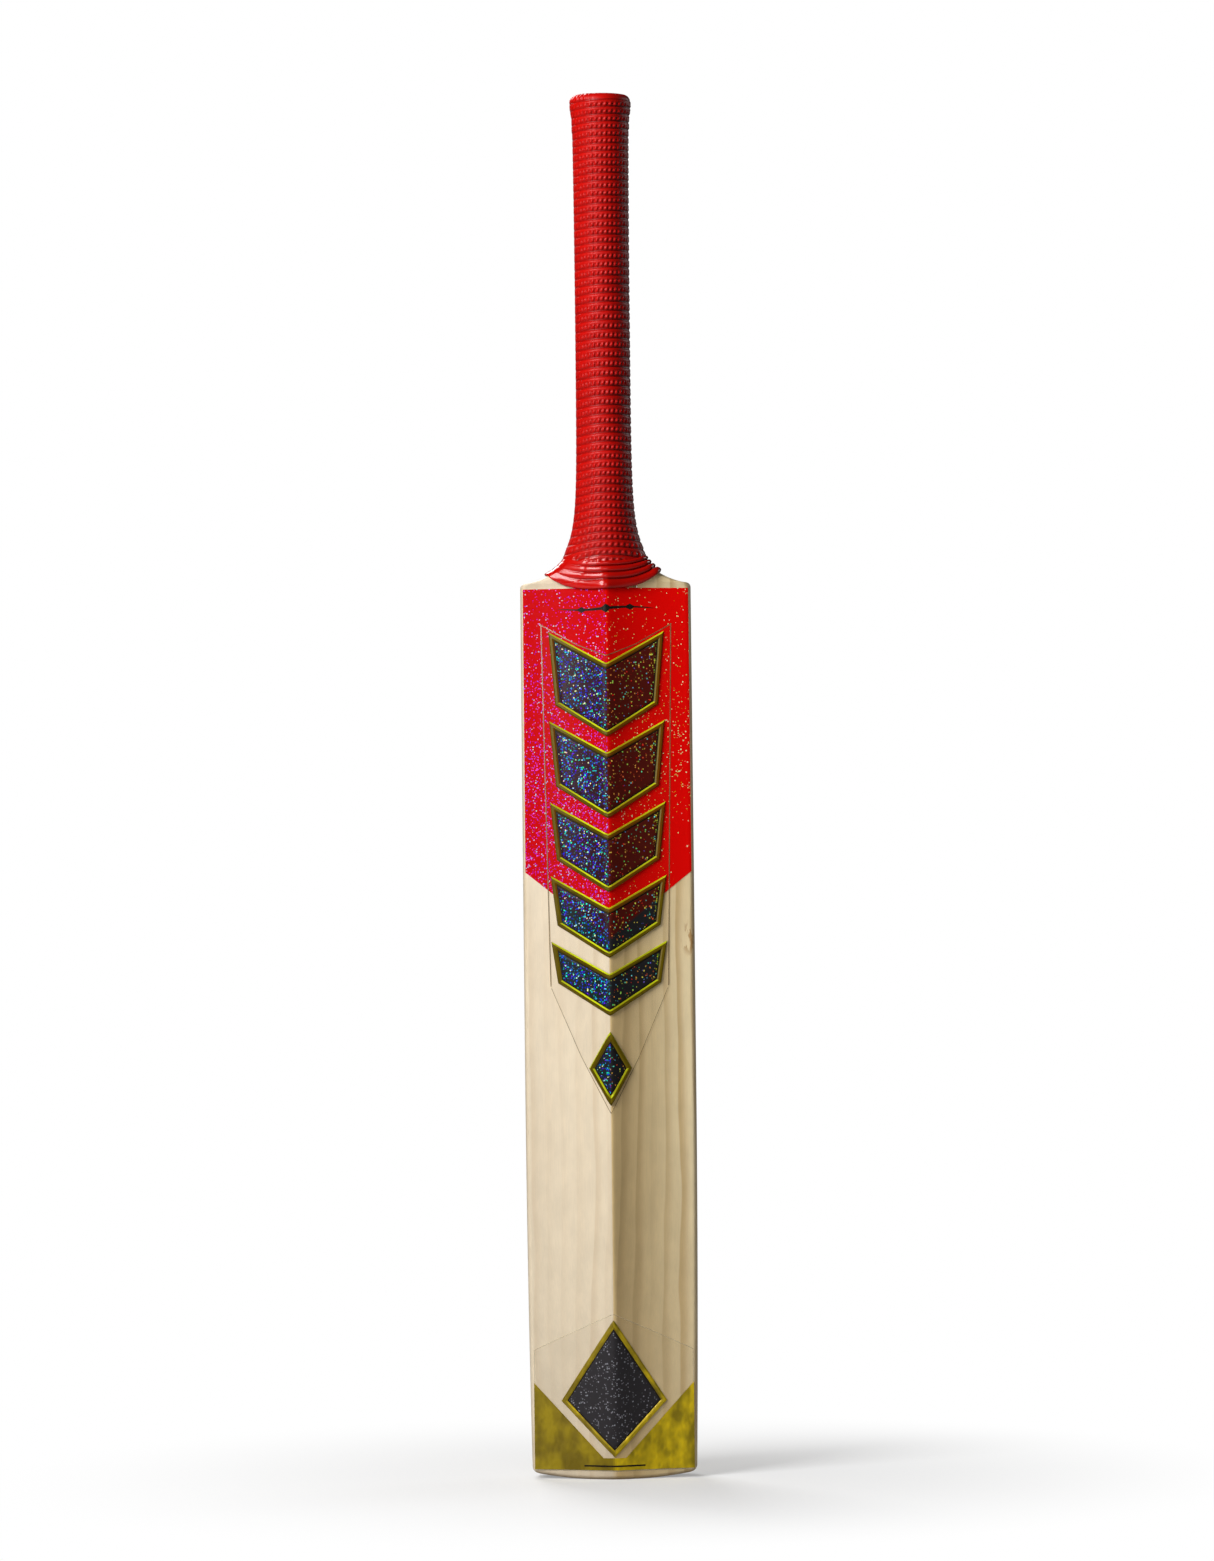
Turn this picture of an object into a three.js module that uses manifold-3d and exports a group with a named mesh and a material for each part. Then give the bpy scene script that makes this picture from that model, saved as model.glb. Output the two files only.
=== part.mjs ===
// A long-handle cricket bat: a willow blade with a spliced cane handle, twine binding, a ribbed rubber
// grip and raised foil decals on its back.
//
// Millimetres, +Z up from the toe to the handle. The origin is on the flat of the toe, under the axis of
// the handle. +Y is the hitting face and -Y is the back, with its spine.

import * as THREE from "three";
import { mergeVertices } from "three/addons/utils/BufferGeometryUtils.js";
import Module from "manifold-3d";

const wasm = await Module();
wasm.setup();

// ---------------------------------------------------------------- driving dimensions

const BAT_LENGTH = 870;

const BLADE = {
  shoulderZ: 563, // top of the shoulders, where the neck begins
  halfWidth: 53.8, // at its widest, from widestZ up
  widestZ: 250,
  toeHalfWidth: 51.9,
  swellZ: 210, // height of the thickest point
  // Thickness under the ridge and at the edges, and how fast it thins from the swell to each end.
  spine: { toe: 38, swell: 64, shoulder: 41.5, toePower: 2.2, shoulderPower: 1.35 },
  edge: { toe: 26, swell: 38.5, shoulder: 20, toePower: 2.2, shoulderPower: 1.5 },
  faceY: 19.5, // the face at toe and shoulder, in front of the handle's axis
  bow: 6, // how far the face curves back half way up
  crown: 1.5, // how much the face rounds off towards its edges
  hollow: { power: 2.4, share: 0.5 }, // the back's slopes: steep by the ridge, flatter by the edges
  ridge: { radius: 1.2, toeRadius: 7.2, toeZ: 150 }, // the ridge is rounder below toeZ
  cornerRadius: 3.2,
  edgeBulge: 0.7,
  toeRadius: 3,
  toeRise: 3.9, // how much higher the toe's corners are than its middle
  toeRiseZ: 60, // the rise has faded out at this height
  toeFlat: 13, // half-width of the toe's flat middle
};

const HANDLE = {
  halfWidth: 13.8, // the bare cane, across the face
  halfDepth: 15.4, // the bare cane, from face to back
  topZ: BAT_LENGTH - 2.3,
  topFlare: 0.9, // how much it widens towards the top
  flareZ: 700, // where that begins
  topEdge: [0.6, 2], // the top's rounded edge: how far in at its start, and at the end face
};

// How the shoulders run into the handle. A length is the height over which most of the change is done.
const NECK = {
  length: 11.6, // of the outline
  power: 0.82, // below 1 the outline drops away at once and then straightens slowly
  faceLength: 20,
  ridgeLength: 26,
  oval: { startZ: 558, length: 16, power: 1.5 }, // the change from the blade's section to an oval
};

const SPLICE = {
  depth: 150, // from the shoulders down to its point
  halfWidth: 20, // at the shoulders
  glue: 0.15, // glue line on each side
  featherZ: 579, // above this the willow beside the splice would be thinner than paper
};

const LAMINATE = {
  columnX: 7, // the joints between the three columns of canes are at plus and minus this
  springY: 8.5, // the outer springs' distance from the middle one
  springThickness: 1.6,
  glue: 0.15, // glue line on each side of a joint
};

const BINDING = {
  bottomZ: 588,
  topZ: HANDLE.topZ - 4,
  thickness: 0.9,
  gap: 0.3,
};

const GRIP = {
  hemZ: 558.6, // lowest point of the hem, on the face and the back
  hemRise: 10.2, // how much higher the hem is at the sides, over the shoulders
  hemReach: 36, // half the width over which it rises
  hemPower: 2.6, // how much of the rise comes near the sides
  hemTilt: 0.04, // rise per millimetre to the right: the sleeve sits a little askew
  evenZ: 600, // above this every ring of the grip is level
  gap: 0.5, // between the grip and what it covers
  step: { from: 574, to: 584 }, // where the wall steps out over the binding
  wall: 1.65,
  hem: { wall: 1.8, height: 6 },
  bead: { wall: 2.6, from: HANDLE.topZ - 14, to: HANDLE.topZ - 5 }, // the thick ring at the top
  topRadius: 4.2, // the rounded top edge
  mouth: 10.4, // half-width of the opening at the top
  mouthRound: 0.8,
  lip: 2, // thickness of the lip that folds over the handle's end
};

// Layers on the blade's back, as distances out from the wood.
const LAYER = {
  panel: [0.12, 0.36],
  film: [0.48, 0.66],
  inlay: [0.78, 1.25],
  frame: [0.78, 1.6],
  toeFilm: [0.12, 0.3],
  toeFoil: [0.42, 0.7],
  toeInlay: [0.42, 1.0],
};

const PANEL = { topZ: 559.2, edgeZ: 381, tipZ: 340, halfWidth: 51.6 };

const EMBLEM = {
  topZ: 532,
  halfWidth: 36,
  endLean: 4, // the ends of a bar lean inwards by this
  drop: 20, // a bar's middle is this much lower than its ends
  bars: [46, 41, 36, 31, 26], // height of each bar, from the top down
  space: 10,
  lozenge: { halfWidth: 13, height: 46 },
  border: 3,
  filmMargin: 5,
  filmFootDrop: 2, // how far below the lowest bar's feet the film's sides turn in
};

const TOE = {
  bottomZ: 6.2,
  bandZ: 14,
  wedgeZ: 61, // where the foil reaches the blade's edges
  bandHalfWidth: 7,
  halfWidth: 50.3,
  kite: { topZ: 102, wideZ: 50, halfWidth: 33, gap: 0.6 }, // the gap is above the band
  border: 3.2,
  film: { side: 0.5, foot: 0.8, top: 4, shoulderZ: 82 }, // margins round the foil and the kite
};

const INLAY_GAP = 0.2; // between a gold frame and the glitter inside it

// ---------------------------------------------------------------- the bat's outer form

// Thickness along the blade: thickest at the swell and thinner towards toe and shoulders.
function alongBlade(z, { toe, swell, shoulder, toePower, shoulderPower }) {
  const { swellZ, shoulderZ } = BLADE;
  if (z < swellZ) return swell - (swell - toe) * ((swellZ - z) / swellZ) ** toePower;
  const share = Math.min(1, (z - swellZ) / (shoulderZ - swellZ));
  return swell - (swell - shoulder) * share ** shoulderPower;
}

const fadeFrom = (z, start, length) => Math.exp(-Math.max(0, z - start) / length);

// How far the bare handle has flared out at this height.
function topFlare(z) {
  const { flareZ } = HANDLE;
  return HANDLE.topFlare * Math.max(0, (z - flareZ) / (BAT_LENGTH - flareZ)) ** 3;
}

function faceY(z) {
  const { faceY: ends, bow, shoulderZ } = BLADE;
  if (z > shoulderZ) {
    return HANDLE.halfDepth + (ends - HANDLE.halfDepth) * fadeFrom(z, shoulderZ, NECK.faceLength);
  }
  const half = shoulderZ / 2;
  return ends - bow * (1 - ((z - half) / half) ** 2);
}

function ridgeY(z) {
  const { spine, faceY: ends, shoulderZ } = BLADE;
  if (z <= shoulderZ) return faceY(z) - alongBlade(z, spine);
  const atShoulder = spine.shoulder - ends;
  return -HANDLE.halfDepth - (atShoulder - HANDLE.halfDepth) * fadeFrom(z, shoulderZ, NECK.ridgeLength);
}

function halfWidth(z) {
  const { shoulderZ, cornerRadius: r, halfWidth: widest, toeHalfWidth, widestZ } = BLADE;
  if (z < widestZ) return widest - (widest - toeHalfWidth) * ((widestZ - z) / widestZ) ** 2;
  const up = z - (shoulderZ - r);
  if (up < 0) return widest;
  if (z < shoulderZ) return widest - r + Math.sqrt(r * r - up * up);
  const handle = HANDLE.halfWidth + topFlare(z);
  const fall = Math.exp(-(((z - shoulderZ) / NECK.length) ** NECK.power));
  return handle + (widest - r - handle) * fall;
}

// The back of the blade at x across and z up. It falls from the ridge to the edges in two hollow slopes.
function backY(x, z) {
  const { halfWidth: w, hollow, ridge, edge, spine } = BLADE;
  const softer = Math.max(0, 1 - z / ridge.toeZ) ** 2;
  const radius = ridge.radius + (ridge.toeRadius - ridge.radius) * softer;
  const whole = Math.hypot(w, radius);
  const across = Math.max(0, 1 - Math.hypot(x, radius) / whole);
  const straight = across / (1 - radius / whole);
  const rise = straight + hollow.share * (straight ** hollow.power - straight);
  const deep = faceY(z) - ridgeY(z);
  const thin = z > BLADE.shoulderZ ? (deep * edge.shoulder) / spine.shoulder : alongBlade(z, edge);
  return faceY(z) - thin - (deep - thin) * rise;
}

const frontY = (x, z) => faceY(z) - BLADE.crown * (x / BLADE.halfWidth) ** 2;

// A section is two chains of SIDE + 1 points, along the face and along the back. Both run from the middle
// of the left edge to the middle of the right edge.
const CORNER = 2; // segments in a rounded corner
const ACROSS = 8; // segments across the face and across the back
const SIDE = 2 * CORNER + ACROSS + 2;
const RING = 2 * SIDE;
const CORNER_MOST = 0.3; // a corner's radius is at most this share of the half-width

// How rounded the end of the blade is at t above the toe's flat: how far its outline has drawn in.
function toeInset(t) {
  const r = BLADE.toeRadius;
  return t >= r ? 0 : r - Math.sqrt(r * r - (r - t) ** 2);
}

function bladePoint(i, front, z, inset) {
  const w = halfWidth(z) - BLADE.edgeBulge - inset;
  const r = Math.min(BLADE.cornerRadius, CORNER_MOST * w);
  const side = i < SIDE / 2 ? -1 : 1;
  const fromEdge = Math.min(i, SIDE - i); // 0 is the middle of the edge
  const surface = (x) => (front ? frontY(x, z) - inset : backY(x, z) + inset);
  const out = front ? 1 : -1;
  if (fromEdge === 0) {
    const middle = (frontY(w, z) + backY(w, z)) / 2;
    return [side * (w + BLADE.edgeBulge), middle];
  }
  if (fromEdge <= CORNER + 1) {
    const angle = ((fromEdge - 1) / CORNER) * (Math.PI / 2);
    const x = w - r + r * Math.cos(angle);
    return [side * x, surface(w - r) - out * r * (1 - Math.sin(angle))];
  }
  // The points lie closer together towards the ridge.
  const u = (2 * (i - CORNER - 1)) / ACROSS - 1;
  const x = (u * (1 + Math.abs(u)) * (w - r)) / 2;
  return [x, surface(x)];
}

function handlePoint(i, front, z, inset) {
  const angle = Math.PI * (1 - i / SIDE);
  const y = Math.sin(angle) * (front ? faceY(z) + topFlare(z) - inset : ridgeY(z) - topFlare(z) + inset);
  return [Math.cos(angle) * (halfWidth(z) - inset), y];
}

// The share of the handle's oval in the section at this height, from 0 in the blade to 1 in the handle.
function ovalShare(z) {
  const { startZ, length, power } = NECK.oval;
  return z <= startZ ? 0 : 1 - Math.exp(-(((z - startZ) / length) ** power));
}

// Point number k of the ring round the bat at height z: along the face first, then back along the back.
function bodyPoint(k, z, inset = 0) {
  const front = k <= SIDE;
  const i = front ? k : RING - k;
  const blade = bladePoint(i, front, z, inset);
  const oval = handlePoint(i, front, z, inset);
  const share = ovalShare(z);
  return new THREE.Vector3(
    THREE.MathUtils.lerp(blade[0], oval[0], share),
    THREE.MathUtils.lerp(blade[1], oval[1], share),
    z,
  );
}

// The bat's outward normal at a point of the ring.
function bodyNormal(k, z) {
  const before = bodyPoint((k + RING - 1) % RING, z);
  const after = bodyPoint((k + 1) % RING, z);
  const around = after.sub(before);
  const along = bodyPoint(k, z + 0.5).sub(bodyPoint(k, z - 0.5));
  return along.cross(around).normalize();
}

// ---------------------------------------------------------------- geometry helpers

function geometryFrom(points, triangles) {
  const geometry = new THREE.BufferGeometry().setFromPoints(points);
  return geometry.setIndex(triangles.flat());
}

// Rings of equal length joined into a skin, each row to the next.
function skin(rows, ring) {
  const triangles = [];
  for (let j = 0; j < rows; j++) {
    for (let k = 0; k < ring; k++) {
      const [a, b] = [j * ring + k, j * ring + ((k + 1) % ring)];
      triangles.push([a, a + ring, b], [b, a + ring, b + ring]);
    }
  }
  return triangles;
}

// A cap over a ring made of two chains, as strips from one chain to the other.
function cap(first, upwards) {
  const at = (k) => first + (k % RING);
  const triangles = [[at(0), at(RING - 1), at(1)]];
  for (let i = 1; i < SIDE - 1; i++) {
    triangles.push([at(i), at(RING - i), at(i + 1)], [at(i + 1), at(RING - i), at(RING - i - 1)]);
  }
  triangles.push([at(SIDE - 1), at(SIDE + 1), at(SIDE)]);
  return upwards ? triangles : triangles.map(([a, b, c]) => [a, c, b]);
}

// A closed tube: a looped profile carried round the ring. pointAt(p, k) is profile point p at ring point k.
function sleeve(profileLength, pointAt) {
  const points = [];
  for (let p = 0; p < profileLength; p++) {
    for (let k = 0; k < RING; k++) points.push(pointAt(p, k));
  }
  const triangles = skin(profileLength - 1, RING);
  const last = (profileLength - 1) * RING;
  for (let k = 0; k < RING; k++) {
    const next = (k + 1) % RING;
    triangles.push([last + k, k, last + next], [last + next, k, next]);
  }
  return geometryFrom(points, triangles);
}

function solid(geometry) {
  const bare = geometry.clone();
  bare.deleteAttribute("normal");
  bare.deleteAttribute("uv");
  const merged = mergeVertices(bare, 1e-4);
  const mesh = new wasm.Mesh({
    numProp: 3,
    vertProperties: new Float32Array(merged.attributes.position.array),
    triVerts: new Uint32Array(merged.index.array),
  });
  return new wasm.Manifold(mesh);
}

function geometryOf(manifold) {
  const mesh = manifold.getMesh();
  const geometry = new THREE.BufferGeometry();
  geometry.setAttribute("position", new THREE.BufferAttribute(mesh.vertProperties, 3));
  geometry.setIndex(new THREE.BufferAttribute(mesh.triVerts, 1));
  geometry.computeVertexNormals();
  return geometry;
}

function box(low, high) {
  const size = high.map((v, i) => v - low[i]);
  const middle = high.map((v, i) => (v + low[i]) / 2);
  return solid(new THREE.BoxGeometry(...size).translate(...middle));
}

// A shape drawn in x and z, carried along Y from `from` to `to`.
function prism(shape, from, to) {
  const geometry = new THREE.ExtrudeGeometry(shape, { depth: to - from, bevelEnabled: false });
  return solid(geometry.rotateX(Math.PI / 2).translate(0, to, 0));
}

const shapeOf = (corners) => new THREE.Shape(corners.map(([x, z]) => new THREE.Vector2(x, z)));

// The corners of a polygon drawn counter-clockwise, each side moved inwards by a distance.
function insetCorners(corners, distance) {
  const moved = corners.map((corner, i) => {
    const next = corners[(i + 1) % corners.length];
    const [dx, dz] = [next[0] - corner[0], next[1] - corner[1]];
    const length = Math.hypot(dx, dz);
    const shift = [(-dz / length) * distance, (dx / length) * distance];
    return { start: [corner[0] + shift[0], corner[1] + shift[1]], way: [dx, dz] };
  });
  return moved.map((line, i) => {
    const before = moved[(i + moved.length - 1) % moved.length];
    const gap = [line.start[0] - before.start[0], line.start[1] - before.start[1]];
    const cross = before.way[0] * line.way[1] - before.way[1] * line.way[0];
    const t = (gap[0] * line.way[1] - gap[1] * line.way[0]) / cross;
    return [before.start[0] + before.way[0] * t, before.start[1] + before.way[1] * t];
  });
}

// ---------------------------------------------------------------- materials

const material = (color, roughness, metalness = 0) =>
  new THREE.MeshStandardMaterial({ color, roughness, metalness });

const WILLOW = material(0xe6d3b0, 0.55);
const CANE = material(0xc99a5b, 0.6);
const RUBBER = material(0x1d1d1f, 0.8);
const TWINE = material(0xd9cfb4, 0.9);
const GRIP_RUBBER = material(0xd8120c, 0.4);
const RED_FOIL = material(0xe0101c, 0.3, 0.3);
const CLEAR_FILM = material(0xf3ecd8, 0.15);
const GLITTER = material(0x22222c, 0.3, 0.3);
const GOLD = material(0xa08a10, 0.3, 0.8);

const bat = new THREE.Group();

function add(name, geometry, finish) {
  const mesh = new THREE.Mesh(geometry, finish);
  mesh.name = name;
  bat.add(mesh);
}

// ---------------------------------------------------------------- blade, canes and springs

// Heights of the rings, closer together where the form changes fast.
const TOE_ROWS = [0, 0.35, 1.3, 2.8, BLADE.toeRadius];
const BLADE_ROWS = [18, 40, 70, 108, 150, 195, 245, 300, 360, 425, 490];
const SHOULDER_ROWS = [535, 559.8, 561.8, 562.7, 563, 563.6, 564.6, 566.4, 569.5, 574, 580];
const HANDLE_ROWS = [588, 600, 618, 650, 730, 800, 845, HANDLE.topZ - 2];
const HEM_ROWS = [GRIP.hemZ, 560.5, 562.5, 565, 568.5, 574, 580]; // of the grip

// How far the curve of the toe lifts a point, from nothing in the middle to its corners.
function toeLift(x, z) {
  const { toeRise, toeRiseZ, toeFlat, toeHalfWidth } = BLADE;
  const out = Math.max(0, Math.abs(x) - toeFlat) / (toeHalfWidth - toeFlat);
  return toeRise * Math.max(0, 1 - z / toeRiseZ) * out ** 2;
}

function outerForm() {
  const [edgeStart, edgeEnd] = HANDLE.topEdge;
  const rows = [...TOE_ROWS, ...BLADE_ROWS, ...SHOULDER_ROWS, ...HANDLE_ROWS].map((z) => [z, toeInset(z)]);
  rows.push([HANDLE.topZ - edgeStart, edgeStart], [HANDLE.topZ, edgeEnd]);
  const points = [];
  for (const [z, inset] of rows) {
    for (let k = 0; k < RING; k++) {
      const point = bodyPoint(k, z, inset);
      points.push(point.setZ(z + toeLift(point.x, z)));
    }
  }
  const last = rows.length - 1;
  const triangles = [...skin(last, RING), ...cap(0, false), ...cap(last * RING, true)];
  return solid(geometryFrom(points, triangles));
}

const REACH = 80; // further than any point of the bat from the handle's axis
const ABOVE = BAT_LENGTH + 20; // higher than any point of the bat

// The V of the splice in the blade, carried on past the top of the handle, grown by `by` on each side.
function spliceShape(by = 0) {
  const { depth, halfWidth: wide } = SPLICE;
  const slope = wide / depth;
  const pointZ = BLADE.shoulderZ - depth - by / slope;
  const topHalf = (ABOVE - pointZ) * slope;
  return shapeOf([
    [0, pointZ],
    [topHalf, ABOVE],
    [-topHalf, ABOVE],
  ]);
}

const form = outerForm();
const splice = prism(spliceShape(), -REACH, REACH);
const blank = form.intersect(splice);

function addBlade() {
  const cut = prism(spliceShape(SPLICE.glue), -REACH, REACH);
  const whole = form.subtract(cut);
  const feather = box([-REACH, -REACH, SPLICE.featherZ], [REACH, REACH, ABOVE]);
  add("blade", geometryOf(whole.subtract(feather)), WILLOW);
}

// Edges of the four rows of canes, from the back to the face, with the springs between them.
function laminateRows() {
  const { springY, springThickness, glue } = LAMINATE;
  const half = springThickness / 2 + glue;
  return [
    [-REACH, -springY - half],
    [-springY + half, -half],
    [half, springY - half],
    [springY + half, REACH],
  ];
}

function addCanes() {
  const { columnX, glue } = LAMINATE;
  const columns = {
    left: [-REACH, -columnX - glue],
    middle: [glue - columnX, columnX - glue],
    right: [columnX + glue, REACH],
  };
  const names = ["back", "mid_back", "mid_face", "face"];
  laminateRows().forEach(([low, high], row) => {
    for (const [side, [left, right]] of Object.entries(columns)) {
      const stave = box([left, low, 0], [right, high, ABOVE]);
      add(`cane_${names[row]}_${side}`, geometryOf(blank.intersect(stave)), CANE);
    }
  });
}

function addSprings() {
  const { springY, springThickness } = LAMINATE;
  const places = { back: -springY, middle: 0, face: springY };
  for (const [name, y] of Object.entries(places)) {
    const strip = box([-REACH, y - springThickness / 2, 0], [REACH, y + springThickness / 2, ABOVE]);
    add(`spring_strip_${name}`, geometryOf(blank.intersect(strip)), RUBBER);
  }
}

// ---------------------------------------------------------------- binding and grip

function addBinding() {
  const { bottomZ, topZ, gap, thickness } = BINDING;
  const between = HANDLE_ROWS.filter((z) => z > bottomZ && z < topZ);
  const heights = [bottomZ, ...between, topZ];
  const outside = heights.map((z) => [z, gap + thickness]);
  const inside = heights.toReversed().map((z) => [z, gap]);
  const profile = [...outside, ...inside];
  const pointAt = (p, k) => {
    const [z, out] = profile[p];
    return bodyPoint(k, z).addScaledVector(bodyNormal(k, z), out);
  };
  add("twine_binding", sleeve(profile.length, pointAt), TWINE);
}

const HEM_STEPS = 12; // enough for the height and the width there to agree

// The height of a grip ring at ring point k. The hem rises towards the shoulders and sits a little askew,
// and the rings above it follow it less and less up to evenZ. The rise depends on how wide the neck is at
// the height it leads to, so it is found in steps.
function gripHeight(k, z) {
  const { hemZ, hemRise, hemReach, hemPower, hemTilt, evenZ } = GRIP;
  const follow = Math.max(0, (evenZ - z) / (evenZ - hemZ));
  let height = z;
  for (let step = 0; step < HEM_STEPS; step++) {
    const { x } = bodyPoint(k, height);
    const rise = hemRise * Math.min(1, Math.abs(x) / hemReach) ** hemPower + hemTilt * x;
    height = (height + z + follow * rise) / 2;
  }
  return height;
}

// What the grip has to clear: the wood at the collar, and the binding above it.
function gripInner(z) {
  const share = THREE.MathUtils.smoothstep(z, GRIP.step.from, GRIP.step.to);
  return GRIP.gap + share * (BINDING.gap + BINDING.thickness);
}

function gripWall(z) {
  const { wall, hem, bead, hemZ } = GRIP;
  const hemShare = 1 - THREE.MathUtils.smoothstep(z, hemZ, hemZ + hem.height);
  const beadShare = THREE.MathUtils.smoothstep(z, bead.from, bead.to);
  return wall + (hem.wall - wall) * hemShare + (bead.wall - wall) * beadShare;
}

// A point of the grip's wall, `out` from the wood, at ring point k.
function wallPoint(k, z, out) {
  const height = gripHeight(k, z);
  return bodyPoint(k, height).addScaledVector(bodyNormal(k, height), out);
}

// A point of an oval round the handle's end, with the handle's proportions.
function mouthPoint(k, halfWidth, z) {
  const angle = Math.PI * (1 - k / SIDE);
  const halfDepth = (halfWidth * HANDLE.halfDepth) / HANDLE.halfWidth;
  return new THREE.Vector3(Math.cos(angle) * halfWidth, Math.sin(angle) * halfDepth, z);
}

// The grip's end as [half-width, height]: the rounded top edge, then the lip round the mouth.
function gripEnd() {
  const { topRadius, mouth, mouthRound, lip, bead } = GRIP;
  const inside = HANDLE.halfWidth + HANDLE.topFlare + gripInner(HANDLE.topZ);
  const rounded = [0.25, 0.5, 0.75, 1].map((share) => {
    const angle = (share * Math.PI) / 2;
    const inwards = topRadius * (1 - Math.cos(angle));
    return [inside + bead.wall - inwards, BAT_LENGTH - topRadius * (1 - Math.sin(angle))];
  });
  return [
    ...rounded,
    [mouth + mouthRound, BAT_LENGTH],
    [mouth, BAT_LENGTH - lip / 2],
    [mouth + mouthRound / 2, BAT_LENGTH - lip],
    [inside, BAT_LENGTH - lip],
  ];
}

function addGrip() {
  const heights = [...HEM_ROWS, ...HANDLE_ROWS];
  const profile = [
    ...heights.map((z) => (k) => wallPoint(k, z, gripInner(z) + gripWall(z))),
    ...gripEnd().map(([halfWidth, z]) => (k) => mouthPoint(k, halfWidth, z)),
    ...heights.toReversed().map((z) => (k) => wallPoint(k, z, gripInner(z))),
  ];
  add("rubber_grip", sleeve(profile.length, (p, k) => profile[p](k)), GRIP_RUBBER);
}

// ---------------------------------------------------------------- decals on the back

// A layer over the back of the blade, between two distances out from the wood, as wide as the flat part of
// the back. It uses the form's own rings, so it lies parallel to the wood's facets.
function backLayer([near, far]) {
  const rows = [BLADE.toeRadius, ...BLADE_ROWS, ...SHOULDER_ROWS.slice(0, 2)];
  const columns = [];
  for (let k = RING - CORNER - 1; k >= SIDE + CORNER + 1; k--) columns.push(k);
  const points = [];
  for (const out of [far, near]) {
    for (const z of rows) {
      for (const k of columns) points.push(bodyPoint(k, z).add(new THREE.Vector3(0, -out, 0)));
    }
  }
  const [wide, all] = [columns.length, columns.length * rows.length];
  const triangles = [];
  const quad = (a, b, c, d) => triangles.push([a, b, c], [a, c, d]);
  for (let j = 0; j < rows.length - 1; j++) {
    for (let i = 0; i < wide - 1; i++) {
      const a = j * wide + i;
      quad(a, a + 1, a + 1 + wide, a + wide);
      quad(all + a, all + a + wide, all + a + wide + 1, all + a + 1);
    }
    const [left, right] = [j * wide, j * wide + wide - 1];
    quad(all + left, left, left + wide, all + left + wide);
    quad(right, all + right, all + right + wide, right + wide);
  }
  const top = (rows.length - 1) * wide;
  for (let i = 0; i < wide - 1; i++) {
    quad(all + i, all + i + 1, i + 1, i);
    quad(top + i, top + i + 1, all + top + i + 1, all + top + i);
  }
  return solid(geometryFrom(points, triangles));
}

// A decal: the outline, drawn in x and z, cut from a layer of the back.
function addDecal(name, layer, shape, finish) {
  const decal = backLayer(layer).intersect(prism(shape, -REACH, 0));
  add(name, geometryOf(decal), finish);
}

function framed(corners, border) {
  const frame = shapeOf(corners);
  frame.holes.push(shapeOf(insetCorners(corners, border)));
  return frame;
}

// A raised motif: a gold frame with a glitter inlay inside it.
function addMotif(name, corners, border, layers) {
  addDecal(`${name}_frame`, layers.frame, framed(corners, border), GOLD);
  addDecal(`${name}_inlay`, layers.inlay, shapeOf(insetCorners(corners, border + INLAY_GAP)), GLITTER);
}

function addPanel() {
  const { topZ, edgeZ, tipZ, halfWidth: w } = PANEL;
  const corners = [
    [-w, topZ],
    [-w, edgeZ],
    [0, tipZ],
    [w, edgeZ],
    [w, topZ],
  ];
  addDecal("red_panel", LAYER.panel, shapeOf(corners), RED_FOIL);
}

// The emblem's bars, each a V across the ridge, with a lozenge under them.
function emblemMotifs() {
  const { topZ, halfWidth: w, endLean, drop, bars, space, lozenge } = EMBLEM;
  const motifs = [];
  let z = topZ;
  for (const height of bars) {
    motifs.push([
      [-w, z],
      [endLean - w, z - height],
      [0, z - height - drop],
      [w - endLean, z - height],
      [w, z],
      [0, z - drop],
    ]);
    z -= height + space;
  }
  const high = z - drop;
  const middle = high - lozenge.height / 2;
  motifs.push([
    [-lozenge.halfWidth, middle],
    [0, high - lozenge.height],
    [lozenge.halfWidth, middle],
    [0, high],
  ]);
  return motifs;
}

function addEmblem() {
  const motifs = emblemMotifs();
  const { topZ, endLean, filmMargin: margin, filmFootDrop, drop } = EMBLEM;
  const wide = EMBLEM.halfWidth + margin;
  const footZ = motifs.at(-2)[1][1] - filmFootDrop;
  const tipZ = motifs.at(-1)[1][1];
  const film = [
    [-wide, topZ + margin],
    [endLean - wide, footZ],
    [-margin, tipZ + margin],
    [0, tipZ - margin],
    [margin, tipZ + margin],
    [wide - endLean, footZ],
    [wide, topZ + margin],
    [0, topZ + margin - drop],
  ];
  addDecal("emblem_film", LAYER.film, shapeOf(film), CLEAR_FILM);
  motifs.forEach((corners, i) => addMotif(`emblem_${i + 1}`, corners, EMBLEM.border, LAYER));
}

function addToeDecals() {
  const { bottomZ, bandZ, wedgeZ, bandHalfWidth, halfWidth: w, kite, border, film } = TOE;
  const filmHalf = w + film.side;
  const filmOutline = [
    [-filmHalf, bottomZ - film.foot],
    [filmHalf, bottomZ - film.foot],
    [filmHalf, film.shoulderZ],
    [0, kite.topZ + film.top],
    [-filmHalf, film.shoulderZ],
  ];
  addDecal("toe_film", LAYER.toeFilm, shapeOf(filmOutline), CLEAR_FILM);
  const foil = [
    [-w, bottomZ],
    [w, bottomZ],
    [w, wedgeZ],
    [bandHalfWidth, bandZ],
    [-bandHalfWidth, bandZ],
    [-w, wedgeZ],
  ];
  addDecal("toe_foil", LAYER.toeFoil, shapeOf(foil), GOLD);
  const corners = [
    [0, bandZ + kite.gap],
    [kite.halfWidth, kite.wideZ],
    [0, kite.topZ],
    [-kite.halfWidth, kite.wideZ],
  ];
  addMotif("toe_kite", corners, border, { frame: LAYER.toeFoil, inlay: LAYER.toeInlay });
}

addBlade();
addCanes();
addSprings();
addBinding();
addGrip();
addPanel();
addEmblem();
addToeDecals();

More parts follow.
